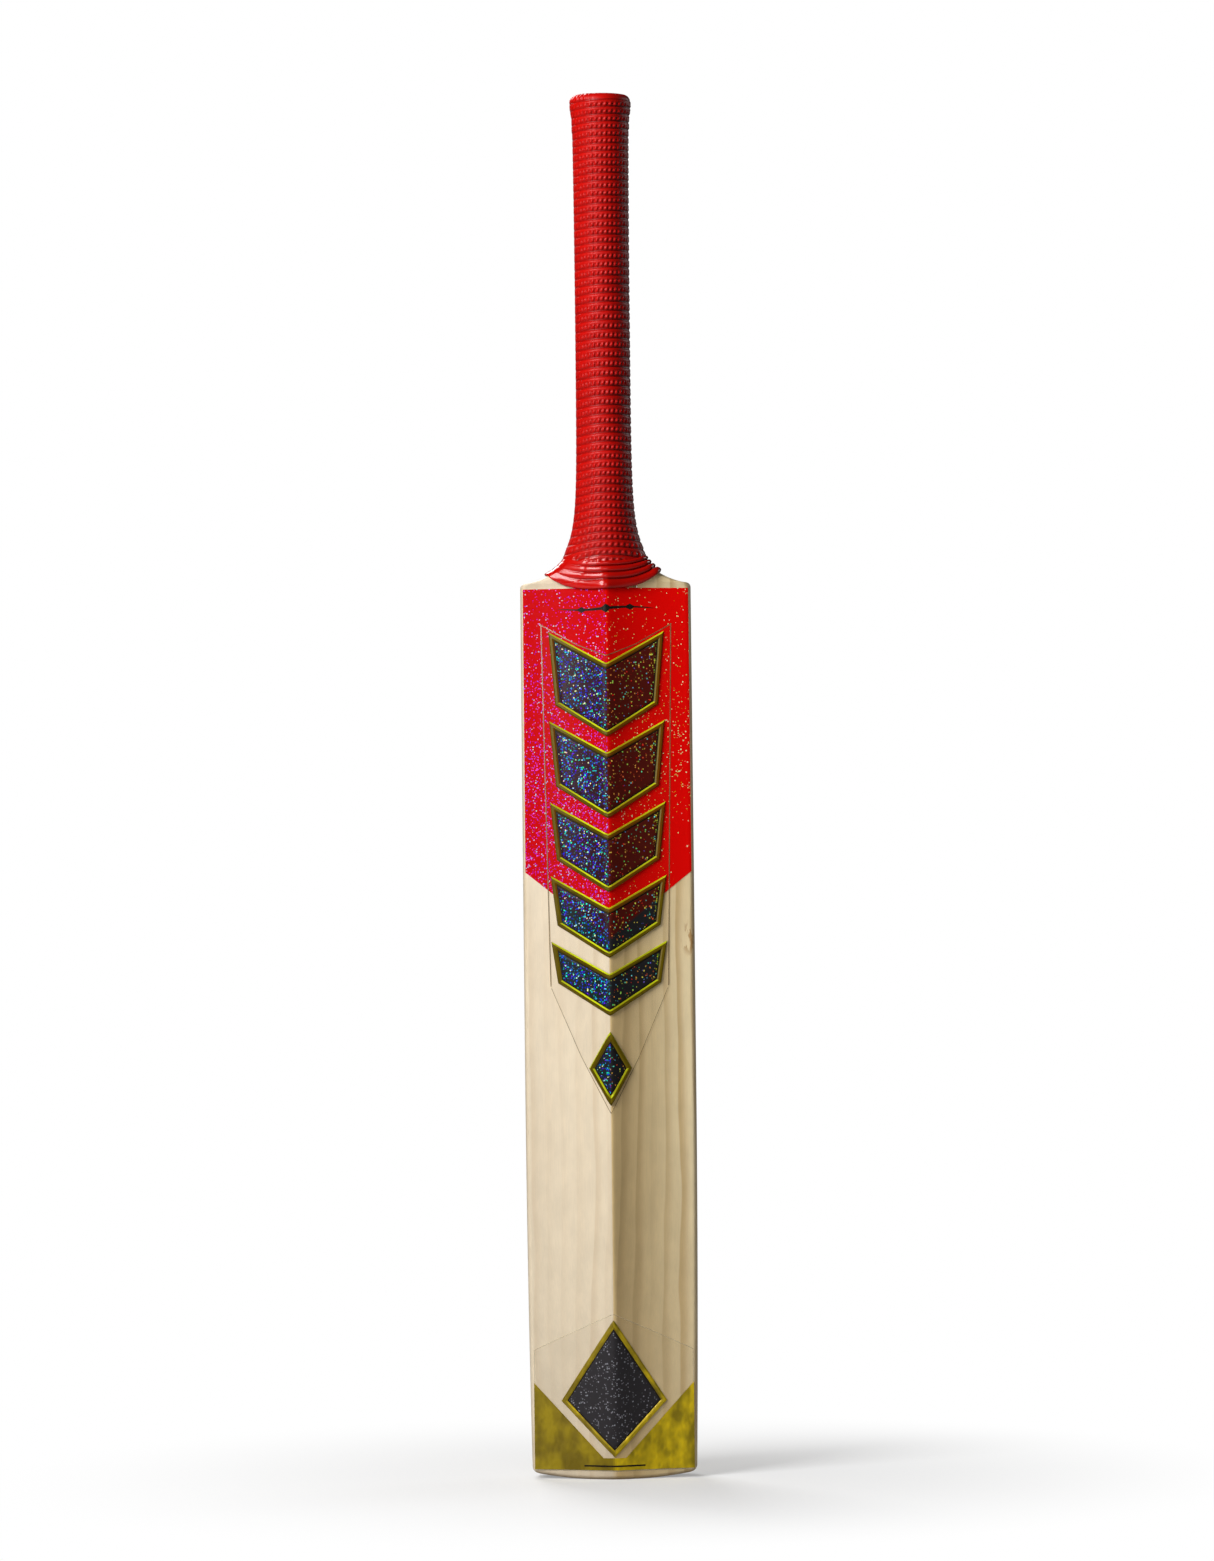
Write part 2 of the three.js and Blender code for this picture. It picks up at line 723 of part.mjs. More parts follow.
export default bat;
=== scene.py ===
"""The looks of a cricket bat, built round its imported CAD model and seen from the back.

Lengths in this script are millimetres in the frame's axes, and a mesh is turned into metres when it is made.
"""

import math

import bmesh
import bpy
import numpy as np
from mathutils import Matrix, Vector


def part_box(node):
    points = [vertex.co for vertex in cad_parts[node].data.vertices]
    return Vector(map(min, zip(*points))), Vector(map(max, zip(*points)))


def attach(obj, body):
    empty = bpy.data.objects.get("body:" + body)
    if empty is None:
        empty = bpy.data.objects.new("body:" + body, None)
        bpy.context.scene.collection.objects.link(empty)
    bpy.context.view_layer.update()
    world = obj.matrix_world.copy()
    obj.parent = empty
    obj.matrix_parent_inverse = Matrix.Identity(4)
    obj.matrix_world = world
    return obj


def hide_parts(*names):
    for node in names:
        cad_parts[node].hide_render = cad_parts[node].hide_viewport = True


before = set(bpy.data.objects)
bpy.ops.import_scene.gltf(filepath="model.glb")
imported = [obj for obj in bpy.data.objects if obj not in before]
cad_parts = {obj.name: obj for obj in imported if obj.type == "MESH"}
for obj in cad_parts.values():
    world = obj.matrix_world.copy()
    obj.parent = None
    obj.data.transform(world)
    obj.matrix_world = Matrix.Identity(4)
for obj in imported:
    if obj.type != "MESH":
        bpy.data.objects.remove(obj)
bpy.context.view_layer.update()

MM = 0.001


def box_mm(node):
    low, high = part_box(node)
    return np.array(low) / MM, np.array(high) / MM


# ---- sizes, from the frame where it holds them

BLADE_HIGH = box_mm("blade")[1]
GRIP_LOW, GRIP_HIGH = box_mm("rubber_grip")
BINDING_LOW, BINDING_HIGH = box_mm("twine_binding")
PANEL_LOW, PANEL_HIGH = box_mm("red_panel")
CANE_LOW, CANE_HIGH = box_mm("cane_face_middle")
BACK_CANE_HIGH = box_mm("cane_back_middle")[1]

BAT_LENGTH = GRIP_HIGH[2]
SHOULDER_Z = 563.0
HALF_WIDTH = BLADE_HIGH[0]
TOE_HALF_WIDTH = 51.9
WIDEST_Z = 250.0
SWELL_Z = 210.0
SPINE = (38.0, 64.0, 41.5)  # thickness under the ridge at toe, swell and shoulders
EDGE = (26.0, 38.5, 20.0)  # thickness at the edges, at the same places
TOE_POWER = 2.2  # power of the thickness's fall from the swell to the toe
SPINE_POWER, EDGE_POWER = 1.35, 1.5  # and of its fall to the shoulders, under the ridge and at the edges
FACE_Y = CANE_HIGH[1]
BOW = 6.0
CROWN = 1.5
HOLLOW = 2.4  # power of the hollowed part of the back's slopes
HOLLOW_SHARE = 0.5  # and its share of their height
RIDGE_ROUND = 1.2
TOE_ROUND, TOE_ROUND_Z = 6.0, 150.0  # how much rounder the ridge is at the toe, and where that has gone
CORNER_RADIUS = 3.2
EDGE_BULGE = 0.7
TOE_RADIUS = 3.0
TOE_RISE = 3.9
TOE_FLAT, TOE_FADE_Z = 13.0, 60.0  # half width of the toe's flat, and where the rise has gone
HANDLE_HALF_WIDTH = 13.8
HANDLE_HALF_DEPTH = 15.4
HANDLE_TOP_Z = CANE_HIGH[2]
TOP_FLARE, FLARE_Z = 0.9, 700.0
FACE_NECK, BACK_NECK = 20.0, 26.0  # lengths of neck over which the blade's depth settles to the handle's
NECK_LENGTH, NECK_POWER = 11.6, 0.82
OVAL_Z, OVAL_LENGTH = 558.0, 16.0
SPLICE_DEPTH, SPLICE_HALF_WIDTH, GLUE = 150.0, 20.0, 0.2
SPLICE_SLOPE, SPLICE_TIP_Z = SPLICE_HALF_WIDTH / SPLICE_DEPTH, SHOULDER_Z - SPLICE_DEPTH
COLUMN_X, COLUMN_GAP, SPLICE_GAP = CANE_HIGH[0], 0.3, 0.15
FACE_ROW_Y, BACK_ROW_Y = CANE_LOW[1], BACK_CANE_HIGH[1]
HEM_RISE, HEM_REACH, HEM_POWER, HEM_TILT = 10.2, 36.0, 2.6, 0.04
EVEN_Z = 600.0  # above this the rings of the grip's mesh are level

# ---- the bat's outer form


def smooth(x, low, high):
    t = np.clip((x - low) / (high - low), 0, 1)
    return t * t * (3 - 2 * t)


def above_shoulder(z):
    return np.maximum(z - SHOULDER_Z, 0)


def along_blade(z, sizes, toe_power, shoulder_power):
    toe, swell, shoulder = sizes
    below = swell - (swell - toe) * np.clip((SWELL_Z - z) / SWELL_Z, 0, 1) ** toe_power
    share = np.clip((z - SWELL_Z) / (SHOULDER_Z - SWELL_Z), 0, 1)
    return np.where(z < SWELL_Z, below, swell - (swell - shoulder) * share**shoulder_power)


def face_y(z):
    half = SHOULDER_Z / 2
    blade = FACE_Y - BOW * (1 - ((z - half) / half) ** 2)
    neck = HANDLE_HALF_DEPTH + (FACE_Y - HANDLE_HALF_DEPTH) * np.exp(-above_shoulder(z) / FACE_NECK)
    return np.where(z > SHOULDER_Z, neck, blade)


def ridge_y(z):
    blade = face_y(z) - along_blade(z, SPINE, TOE_POWER, SPINE_POWER)
    deep = SPINE[2] - FACE_Y - HANDLE_HALF_DEPTH
    neck = -HANDLE_HALF_DEPTH - deep * np.exp(-above_shoulder(z) / BACK_NECK)
    return np.where(z > SHOULDER_Z, neck, blade)


def top_flare(z):
    return TOP_FLARE * np.clip((z - FLARE_Z) / (BAT_LENGTH - FLARE_Z), 0, 1.1) ** 3


def half_width(z):
    r = CORNER_RADIUS
    toe = HALF_WIDTH - (HALF_WIDTH - TOE_HALF_WIDTH) * np.clip((WIDEST_Z - z) / WIDEST_Z, 0, 1) ** 2
    up = np.clip(z - (SHOULDER_Z - r), 0, r)
    blade = toe - r + np.sqrt(r * r - up * up)
    handle = HANDLE_HALF_WIDTH + top_flare(z)
    fall = np.exp(-((above_shoulder(z) / NECK_LENGTH) ** NECK_POWER))
    return np.where(z < SHOULDER_Z, blade, handle + (HALF_WIDTH - r - handle) * fall)


def front_y(x, z):
    return face_y(z) - CROWN * (x / HALF_WIDTH) ** 2


def back_y(x, z):
    ridge = RIDGE_ROUND + TOE_ROUND * np.clip(1 - z / TOE_ROUND_Z, 0, 1) ** 2
    whole = np.hypot(HALF_WIDTH, ridge)
    across = np.maximum(0, 1 - np.hypot(x, ridge) / whole)
    deep = face_y(z) - ridge_y(z)
    thin = np.where(z > SHOULDER_Z, deep * EDGE[2] / SPINE[2], along_blade(z, EDGE, TOE_POWER, EDGE_POWER))
    rise = across / (1 - ridge / whole)
    rise = rise + HOLLOW_SHARE * (rise**HOLLOW - rise)
    return face_y(z) - thin - (deep - thin) * rise


def back_surface(x, z):
    """The back with its rounded corners, for what is stuck to it."""
    flat = half_width(z) - EDGE_BULGE - CORNER_RADIUS
    past = np.clip(np.abs(x) - flat, 0, CORNER_RADIUS)
    return back_y(np.clip(x, -flat, flat), z) + CORNER_RADIUS - np.sqrt(CORNER_RADIUS**2 - past**2)


EDGE_SHARE, CORNER_SHARE = 1 / 14, 3 / 14  # where a chain's edge and its corner end, as shares of the chain


def blade_chain(t, sign, z, inset):
    """x and y at share t along the face (sign 1) or the back (sign -1), from the left edge to the right."""
    w = half_width(z) - EDGE_BULGE - inset
    r = np.minimum(CORNER_RADIUS, 0.3 * w)
    side = np.where(t < 0.5, -1.0, 1.0)
    e = np.minimum(t, 1 - t)

    def surface(at):
        return front_y(at, z) - inset if sign > 0 else back_y(at, z) + inset

    middle = (front_y(w, z) + back_y(w, z)) / 2
    edge = np.clip(e / EDGE_SHARE, 0, 1)
    corner_y = surface(w - r)
    edge_x = w + EDGE_BULGE * (1 - edge**2)
    edge_y = middle + (corner_y - sign * r - middle) * edge
    angle = np.clip((e - EDGE_SHARE) / (CORNER_SHARE - EDGE_SHARE), 0, 1) * math.pi / 2
    round_x = w - r + r * np.cos(angle)
    round_y = corner_y - sign * r * (1 - np.sin(angle))
    u = np.clip((t - CORNER_SHARE) / (1 - 2 * CORNER_SHARE), 0, 1) * 2 - 1
    flat_x = u * (0.5 + 0.5 * np.abs(u)) * (w - r)
    x = np.where(e < EDGE_SHARE, side * edge_x, np.where(e < CORNER_SHARE, side * round_x, flat_x))
    y = np.where(e < EDGE_SHARE, edge_y, np.where(e < CORNER_SHARE, round_y, surface(flat_x)))
    return x, y


def ring_points(shares, z, inset=0.0):
    """Points round the bat. Shares run 0 to 1 along the face and 1 to 2 back along the back."""
    shares, z = np.broadcast_arrays(shares, z)
    front = shares <= 1
    t = np.where(front, shares, 2 - shares)
    fx, fy = blade_chain(t, 1, z, inset)
    bx, by = blade_chain(t, -1, z, inset)
    angle = math.pi * (1 - t)
    ox = np.cos(angle) * (half_width(z) - inset)
    deep = np.where(front, face_y(z) + top_flare(z) - inset, ridge_y(z) - top_flare(z) + inset)
    oy = np.sin(angle) * deep
    share = np.where(z <= OVAL_Z, 0, 1 - np.exp(-((np.maximum(z - OVAL_Z, 0) / OVAL_LENGTH) ** 1.5)))
    x = np.where(front, fx, bx) * (1 - share) + ox * share
    y = np.where(front, fy, by) * (1 - share) + oy * share
    return np.stack([x, y, z], -1)


def ring_normals(shares, z):
    step = 1e-3
    around = ring_points((shares + step) % 2, z) - ring_points((shares - step) % 2, z)
    along = ring_points(shares, z + 0.25) - ring_points(shares, z - 0.25)
    normal = np.cross(along, around)
    return normal / np.linalg.norm(normal, axis=-1, keepdims=True)


def wrapped(shares, z, out):
    """Points round the bat, a distance out from it."""
    return ring_points(shares, z) + ring_normals(shares, z) * np.asarray(out)[..., None]


def on_back(x, z, out):
    """Points a distance out from the back of the blade, along its normal."""
    x, z = np.asarray(x, float), np.asarray(z, float)
    step = 0.2
    slope_x = (back_surface(x + step, z) - back_surface(x - step, z)) / (2 * step)
    slope_z = (back_surface(x, z + step) - back_surface(x, z - step)) / (2 * step)
    normal = np.stack([slope_x, -np.ones_like(x), slope_z], -1)
    normal /= np.linalg.norm(normal, axis=-1, keepdims=True)
    base = np.stack([x, back_surface(x, z), z], -1)
    return base + normal * np.asarray(out, float)[..., None]


# ---- mesh helpers


def face_outwards(mesh):
    """Turns every face of a closed mesh outwards."""
    shape = bmesh.new()
    shape.from_mesh(mesh)
    bmesh.ops.recalc_face_normals(shape, faces=shape.faces)
    shape.to_mesh(mesh)
    shape.free()


def shade_smooth(mesh, sharp_deg):
    mesh.polygons.foreach_set("use_smooth", np.ones(len(mesh.polygons), bool))
    mesh.set_sharp_from_angle(angle=math.radians(sharp_deg))


def placed(name, data):
    """A new object in the scene."""
    made = bpy.data.objects.new(name, data)
    bpy.context.scene.collection.objects.link(made)
    return made


def mesh_object(name, points, faces, materials, replaces, material_of=None, sharp_deg=40, depth=None):
    """Makes a piece of the bat from points in millimetres.

    Depth is a number for each point, 0 on the high parts and 1 in the hollows, for the material to paint
    shade into the hollows."""
    mesh = bpy.data.meshes.new(name)
    mesh.from_pydata((np.asarray(points).reshape(-1, 3) * MM).tolist(), [], faces)
    mesh.validate()
    face_outwards(mesh)
    for material in materials:
        mesh.materials.append(material)
    if material_of is not None:
        mesh.polygons.foreach_set("material_index", np.asarray(material_of, np.int32))
    shade_smooth(mesh, sharp_deg)
    if depth is not None:
        layer = mesh.attributes.new("depth", "FLOAT", "POINT")
        layer.data.foreach_set("value", np.asarray(depth, np.float32))
    mesh.update()
    piece = placed(name, mesh)
    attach(piece, "root")
    if replaces:
        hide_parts(*replaces)
    return piece


def grid_faces(rows, columns, wrap=False, first=0, flip=False):
    """Quads over a grid of points stored row by row. A wrapped grid joins its last column to its first."""
    j = np.arange(rows - 1)[:, None]
    i = np.arange(columns if wrap else columns - 1)[None, :]
    nxt = (i + 1) % columns
    here, there = j * columns, (j + 1) * columns
    quads = np.stack([here + i, there + i, there + nxt, here + nxt], -1).reshape(-1, 4) + first
    return (quads[:, ::-1] if flip else quads).tolist()


def slab(grid_out, grid_in):
    """Points and faces of a closed slab between two grids of one shape, of which the first faces outwards."""
    rows, columns = grid_out.shape[:2]
    count = rows * columns
    points = np.concatenate([grid_out.reshape(-1, 3), grid_in.reshape(-1, 3)])
    faces = grid_faces(rows, columns) + grid_faces(rows, columns, first=count, flip=True)
    border = list(range(columns))
    border += [j * columns + columns - 1 for j in range(1, rows)]
    border += [(rows - 1) * columns + i for i in range(columns - 2, -1, -1)]
    border += [j * columns for j in range(rows - 2, 0, -1)]
    for a, b in zip(border, border[1:] + border[:1]):
        faces.append([a, b, b + count, a + count])
    return points, faces


# ---- node helpers


class Graph:
    """A material's node tree, with short calls for the nodes that the materials here need."""

    def __init__(self, name):
        self.material = bpy.data.materials.new(name)
        self.material.use_nodes = True
        self.tree = self.material.node_tree
        self.shader = self.tree.nodes["Principled BSDF"]
        texture = self.node("ShaderNodeTexCoord")
        self.place = self.vector_math("SCALE", texture.outputs["Object"], scale=1 / MM)
        split = self.node("ShaderNodeSeparateXYZ")
        self.link(self.place, split.inputs[0])
        self.x, self.y, self.z = split.outputs

    def node(self, kind, **settings):
        made = self.tree.nodes.new(kind)
        for key, value in settings.items():
            setattr(made, key, value)
        return made

    def link(self, source, target):
        self.tree.links.new(source, target)

    def put(self, target, value):
        if isinstance(value, bpy.types.NodeSocket):
            self.link(value, target)
        elif isinstance(value, (tuple, list)) and len(value) == 3 and target.type == "RGBA":
            target.default_value = (*value, 1)
        else:
            target.default_value = value

    def math(self, operation, a, b=0.0, c=0.0):
        made = self.node("ShaderNodeMath", operation=operation)
        for target, value in zip(made.inputs, (a, b, c)):
            self.put(target, value)
        return made.outputs[0]

    def times(self, a, b):
        return self.math("MULTIPLY", a, b)

    def plus(self, a, b):
        return self.math("ADD", a, b)

    def minus(self, a, b):
        return self.math("SUBTRACT", a, b)

    def vector_math(self, operation, a, b=None, scale=None):
        made = self.node("ShaderNodeVectorMath", operation=operation)
        self.put(made.inputs[0], a)
        if b is not None:
            self.put(made.inputs[1], b)
        if scale is not None:
            self.put(made.inputs["Scale"], scale)
        return made.outputs["Vector"]

    def combine(self, x, y, z):
        made = self.node("ShaderNodeCombineXYZ")
        for target, value in zip(made.inputs, (x, y, z)):
            self.put(target, value)
        return made.outputs[0]

    def stretched(self, x, y, z):
        return self.vector_math("MULTIPLY", self.place, (x, y, z))

    def length(self, vector):
        made = self.node("ShaderNodeVectorMath", operation="LENGTH")
        self.link(vector, made.inputs[0])
        return made.outputs["Value"]

    def noise(self, stretch=None, detail=2.0, roughness=0.5, scale=1.0):
        made = self.node("ShaderNodeTexNoise")
        self.link(self.stretched(*stretch) if stretch else self.place, made.inputs["Vector"])
        made.inputs["Scale"].default_value = scale
        made.inputs["Detail"].default_value = detail
        made.inputs["Roughness"].default_value = roughness
        return made.outputs["Fac"]

    def cells(self, place, scale):
        """Three random numbers for each cell of a Voronoi pattern, and the distance from its middle."""
        made = self.node("ShaderNodeTexVoronoi")
        self.link(place, made.inputs["Vector"])
        made.inputs["Scale"].default_value = scale
        split = self.node("ShaderNodeSeparateColor")
        self.link(made.outputs["Color"], split.inputs[0])
        return [*split.outputs, made.outputs["Distance"]]

    def remap(self, value, low, high, to_low=0.0, to_high=1.0, soft=False):
        made = self.node("ShaderNodeMapRange", interpolation_type="SMOOTHSTEP" if soft else "LINEAR")
        for target, given in zip(made.inputs, (value, low, high, to_low, to_high)):
            self.put(target, given)
        return made.outputs[0]

    def mix(self, share, a, b, blend="MIX"):
        made = self.node("ShaderNodeMix", data_type="RGBA", blend_type=blend)
        self.put(made.inputs["Factor"], share)
        self.put(made.inputs["A"], a)
        self.put(made.inputs["B"], b)
        return made.outputs["Result"]

    def hsv(self, hue, saturation, value):
        made = self.node("ShaderNodeCombineColor", mode="HSV")
        for target, given in zip(made.inputs, (hue, saturation, value)):
            self.put(target, given)
        return made.outputs[0]

    def bump(self, height, strength, distance):
        made = self.node("ShaderNodeBump")
        made.inputs["Strength"].default_value = strength
        made.inputs["Distance"].default_value = distance * MM
        self.link(height, made.inputs["Height"])
        self.link(made.outputs["Normal"], self.shader.inputs["Normal"])

    def normal(self, axis):
        geometry = self.node("ShaderNodeNewGeometry")
        split = self.node("ShaderNodeSeparateXYZ")
        self.link(geometry.outputs["True Normal"], split.inputs[0])
        return split.outputs["XYZ".index(axis)]

    def finish(self, **inputs):
        for name, value in inputs.items():
            self.put(self.shader.inputs[name.replace("_", " ")], value)
        return self.material


# ---- materials

PANEL_TIP_Z = PANEL_LOW[2]
PANEL_SLOPE = 0.8  # how steeply the panel's foot rises from its point
BLEMISH = (50.0, -14.0, 339.0)  # middle of the blemish by the right edge
FLAKE, PANEL_FLAKE = 0.98, 0.8  # spacing of the flakes, in the dark glitter and in the red panel


def wood_colour(g, cream, tan, ring_width):
    """Straight grain: growth rings stand across the blade, so they show as lines up its face and back."""
    drift = g.noise((0.012, 0.012, 0.0035), 3.0)
    fine_drift = g.noise((0.05, 0.05, 0.012), 2.0)
    shift = g.plus(g.times(drift, 2.6), g.times(fine_drift, 0.5))
    rings = g.plus(g.math("DIVIDE", g.x, ring_width), shift)
    part = g.math("FRACT", rings)
    line = g.times(g.remap(part, 0.0, 0.1, 0, 1, True), g.remap(part, 0.12, 0.7, 1, 0, True))
    which = g.node("ShaderNodeTexWhiteNoise", noise_dimensions="1D")
    g.link(g.math("FLOOR", rings), which.inputs["W"])
    strong = g.remap(which.outputs["Value"], 0, 1, 0.15, 0.9)
    patch = g.noise((0.02, 0.02, 0.006), 2.0)
    fibre = g.noise((2.4, 2.4, 0.035), 3.0, 0.65)
    base = g.mix(g.times(line, strong), cream, tan)
    base = g.mix(g.remap(patch, 0.4, 0.7, 0, 0.28, True), base, tan)
    cloud = g.noise((0.09, 0.09, 0.05), 3.0, 0.6)
    cloudy = g.remap(cloud, 0.35, 0.65, 0.955, 1.03)
    shade = g.times(g.remap(fibre, 0.3, 0.7, 0.95, 1.03), cloudy)
    return g.mix(1.0, base, g.combine(shade, shade, shade), "MULTIPLY"), fibre, line


# The materials split their colours by this, to paint how the light falls on each slope.
def side_share(g):
    """0 on the left slope of the back and 1 on the right."""
    return g.remap(g.normal("X"), -0.12, 0.12, 0, 1)


def over_red(g):
    """1 where the red panel lies underneath, above its pointed foot, and 0 below."""
    foot = g.plus(PANEL_TIP_Z, g.times(g.math("ABSOLUTE", g.x), PANEL_SLOPE))
    return g.remap(g.minus(g.z, foot), -1.0, 1.0)


def at_toe(g):
    """1 at the toe and 0 further up."""
    return g.remap(g.z, 200.0, 150.0)


def willow():
    g = Graph("willow")
    side = side_share(g)
    # Painted shade: the right slope faces away from the key light, so its cream and tan are more saturated
    # and orange than the left's, most of all beside the ridge.
    right = g.mix(g.remap(g.x, 5.0, 45.0), (0.83, 0.605, 0.285), (0.92, 0.75, 0.45))
    cream = g.mix(side, (0.78, 0.655, 0.475), right)
    tan = g.mix(side, (0.67, 0.52, 0.34), (0.66, 0.46, 0.21))
    colour, fibre, line = wood_colour(g, cream, tan, 9.5)
    # A small amber blemish in the grain.
    away = g.vector_math("SUBTRACT", g.place, BLEMISH)
    spot = g.length(g.vector_math("MULTIPLY", away, (0.16, 0.03, 0.075)))
    streak = g.noise((0.5, 0.2, 0.16), 3.0)
    mask = g.times(g.remap(spot, 0.4, 1.0, 1, 0, True), g.remap(streak, 0.5, 0.58))
    colour = g.mix(g.times(mask, 0.75), colour, (0.46, 0.22, 0.05))
    # Faces that turn down at the toe are darker: partly the deeper tone of end grain, and partly painted
    # shade, as they face away from the light.
    colour = g.mix(g.remap(g.normal("Z"), -0.35, -0.9, 0, 0.65, True), colour, (0.45, 0.30, 0.16))
    height = g.plus(g.times(fibre, 0.6), g.times(line, -0.4))
    g.bump(height, 0.25, 0.08)
    rough = g.remap(fibre, 0.3, 0.7, 0.42, 0.52)
    return g.finish(Base_Color=colour, Roughness=rough, Coat_Weight=0.08, Coat_Roughness=0.35)


def cane(name, tint):
    g = Graph(name)
    strands = g.noise((1.6, 1.6, 0.02), 4.0, 0.7)
    rank, _, _, away = g.cells(g.stretched(0.9, 0.9, 0.05), 1.0)
    fleck = g.times(g.remap(away, 0.2, 0.32, 1, 0, True), g.remap(rank, 0.55, 0.6))
    light = (0.62 * tint, 0.42 * tint, 0.20 * tint)
    dark = (0.38 * tint, 0.21 * tint, 0.08 * tint)
    colour = g.mix(g.remap(strands, 0.35, 0.7), light, dark)
    colour = g.mix(g.times(fleck, 0.7), colour, (0.13, 0.06, 0.025))
    g.bump(strands, 0.35, 0.1)
    return g.finish(Base_Color=colour, Roughness=g.remap(strands, 0.3, 0.7, 0.5, 0.65))


def grip_rubber():
    g = Graph("grip_rubber")
    mottle = g.noise((0.06, 0.06, 0.06), 3.0)
    grain = g.noise(None, 2.0, scale=3.2)
    colour = g.mix(g.remap(mottle, 0.35, 0.65), (0.63, 0.0035, 0.001), (0.56, 0.003, 0.001))
    # Painted shade: the right side, which faces away from the key light, is darkened.
    colour = g.mix(g.remap(g.normal("X"), 0.05, 0.85, 0, 0.62), colour, (0.12, 0.002, 0.001))
    # Painted shade in the hollows, darker on the right side than the left.
    hollow_shade = g.node("ShaderNodeAttribute", attribute_name="depth").outputs["Fac"]
    shade = g.times(hollow_shade, g.remap(g.normal("X"), -0.3, 0.4, 0.5, 0.9))
    colour = g.mix(shade, colour, (0.10, 0.001, 0.0005))
    collar = g.remap(g.z, 584.0, 577.0, 0, 1, True)
    rough = g.minus(g.remap(grain, 0.3, 0.7, 0.36, 0.46), g.times(collar, 0.24))
    shine = g.remap(collar, 0, 1, 0.22, 0.5)
    g.bump(grain, 0.08, 0.05)
    return g.finish(Base_Color=colour, Roughness=rough, Specular_IOR_Level=shine)


def twine():
    g = Graph("twine")
    fibre = g.noise((0.8, 0.8, 2.5), 4.0, 0.7)
    colour = g.mix(g.remap(fibre, 0.35, 0.65), (0.62, 0.55, 0.40), (0.40, 0.33, 0.21))
    g.bump(fibre, 0.5, 0.1)
    return g.finish(Base_Color=colour, Roughness=0.82)


def spring_rubber():
    g = Graph("spring_rubber")
    dust = g.noise(None, 4.0, 0.6, scale=1.4)
    colour = g.mix(g.remap(dust, 0.4, 0.7), (0.018, 0.018, 0.02), (0.05, 0.05, 0.052))
    g.bump(dust, 0.3, 0.06)
    return g.finish(Base_Color=colour, Roughness=g.remap(dust, 0.3, 0.7, 0.65, 0.8))


def flakes(g, size):
    """Round flakes: a rank, hue and shade for each, all random, and 1 inside a flake or 0 in the gaps."""
    rank, hue, shade, away = g.cells(g.place, 1 / size)
    radius = g.remap(shade, 0, 1, 0.34, 0.56)
    return rank, hue, shade, g.remap(g.minus(radius, away), -0.06, 0.06)


def lit_flakes(g, inside, rank, need):
    """1 on the flakes whose rank is above the need, and 0 elsewhere: the flakes painted as glints."""
    return g.times(inside, g.remap(g.minus(rank, need), 0.0, 0.01))


def red_glitter():
    g = Graph("red_glitter")
    side = side_share(g)
    rank, hue, shade, inside = flakes(g, PANEL_FLAKE)
    patch = g.noise((0.03, 0.03, 0.012), 2.0)
    # Painted glints: fewer flakes light up on the right slope, which faces away from the light.
    need = g.plus(g.remap(side, 0, 1, 0.90, 0.95), g.remap(patch, 0.35, 0.65, 0.04, -0.04))
    # Painted glints: more flakes light up lower down and beside the ridge, on the left slope.
    by_ridge = g.remap(g.x, -20.0, 0.0, 0, 0.09, True)
    near = g.plus(g.remap(g.z, 530.0, 430.0, 0, 0.20, True), by_ridge)
    need = g.minus(need, g.times(near, g.remap(side, 0, 1, 1, 0)))
    lit = lit_flakes(g, inside, rank, need)
    # The glints are painted violet, blue and pale on the left slope and warm on the right, as the holographic
    # foil looks under the light on each slope.
    violet_hue, warm_hue = g.remap(hue, 0, 1, 0.68, 0.92), g.remap(hue, 0, 1, 0.02, 0.3)
    violet = g.hsv(violet_hue, g.remap(shade, 0, 1, 1.0, 0.88), g.remap(shade, 0, 1, 0.55, 1.0))
    warm = g.hsv(warm_hue, g.remap(shade, 0, 1, 1.0, 0.45), g.remap(shade, 0, 1, 0.55, 0.95))
    pale = g.hsv(g.remap(hue, 0, 1, 0.5, 0.8), 0.5, 0.8)
    left = g.mix(g.remap(shade, 0.84, 0.86), violet, pale)
    # The red ground is painted lighter on the right slope than on the left.
    base = g.mix(side, (0.56, 0.0008, 0.0025), (0.80, 0.002, 0.001))
    colour = g.mix(lit, base, g.mix(side, left, warm))
    g.bump(hue, 0.1, 0.04)
    return g.finish(Base_Color=colour, Roughness=g.remap(rank, 0, 1, 0.4, 0.6), Specular_IOR_Level=0.03)


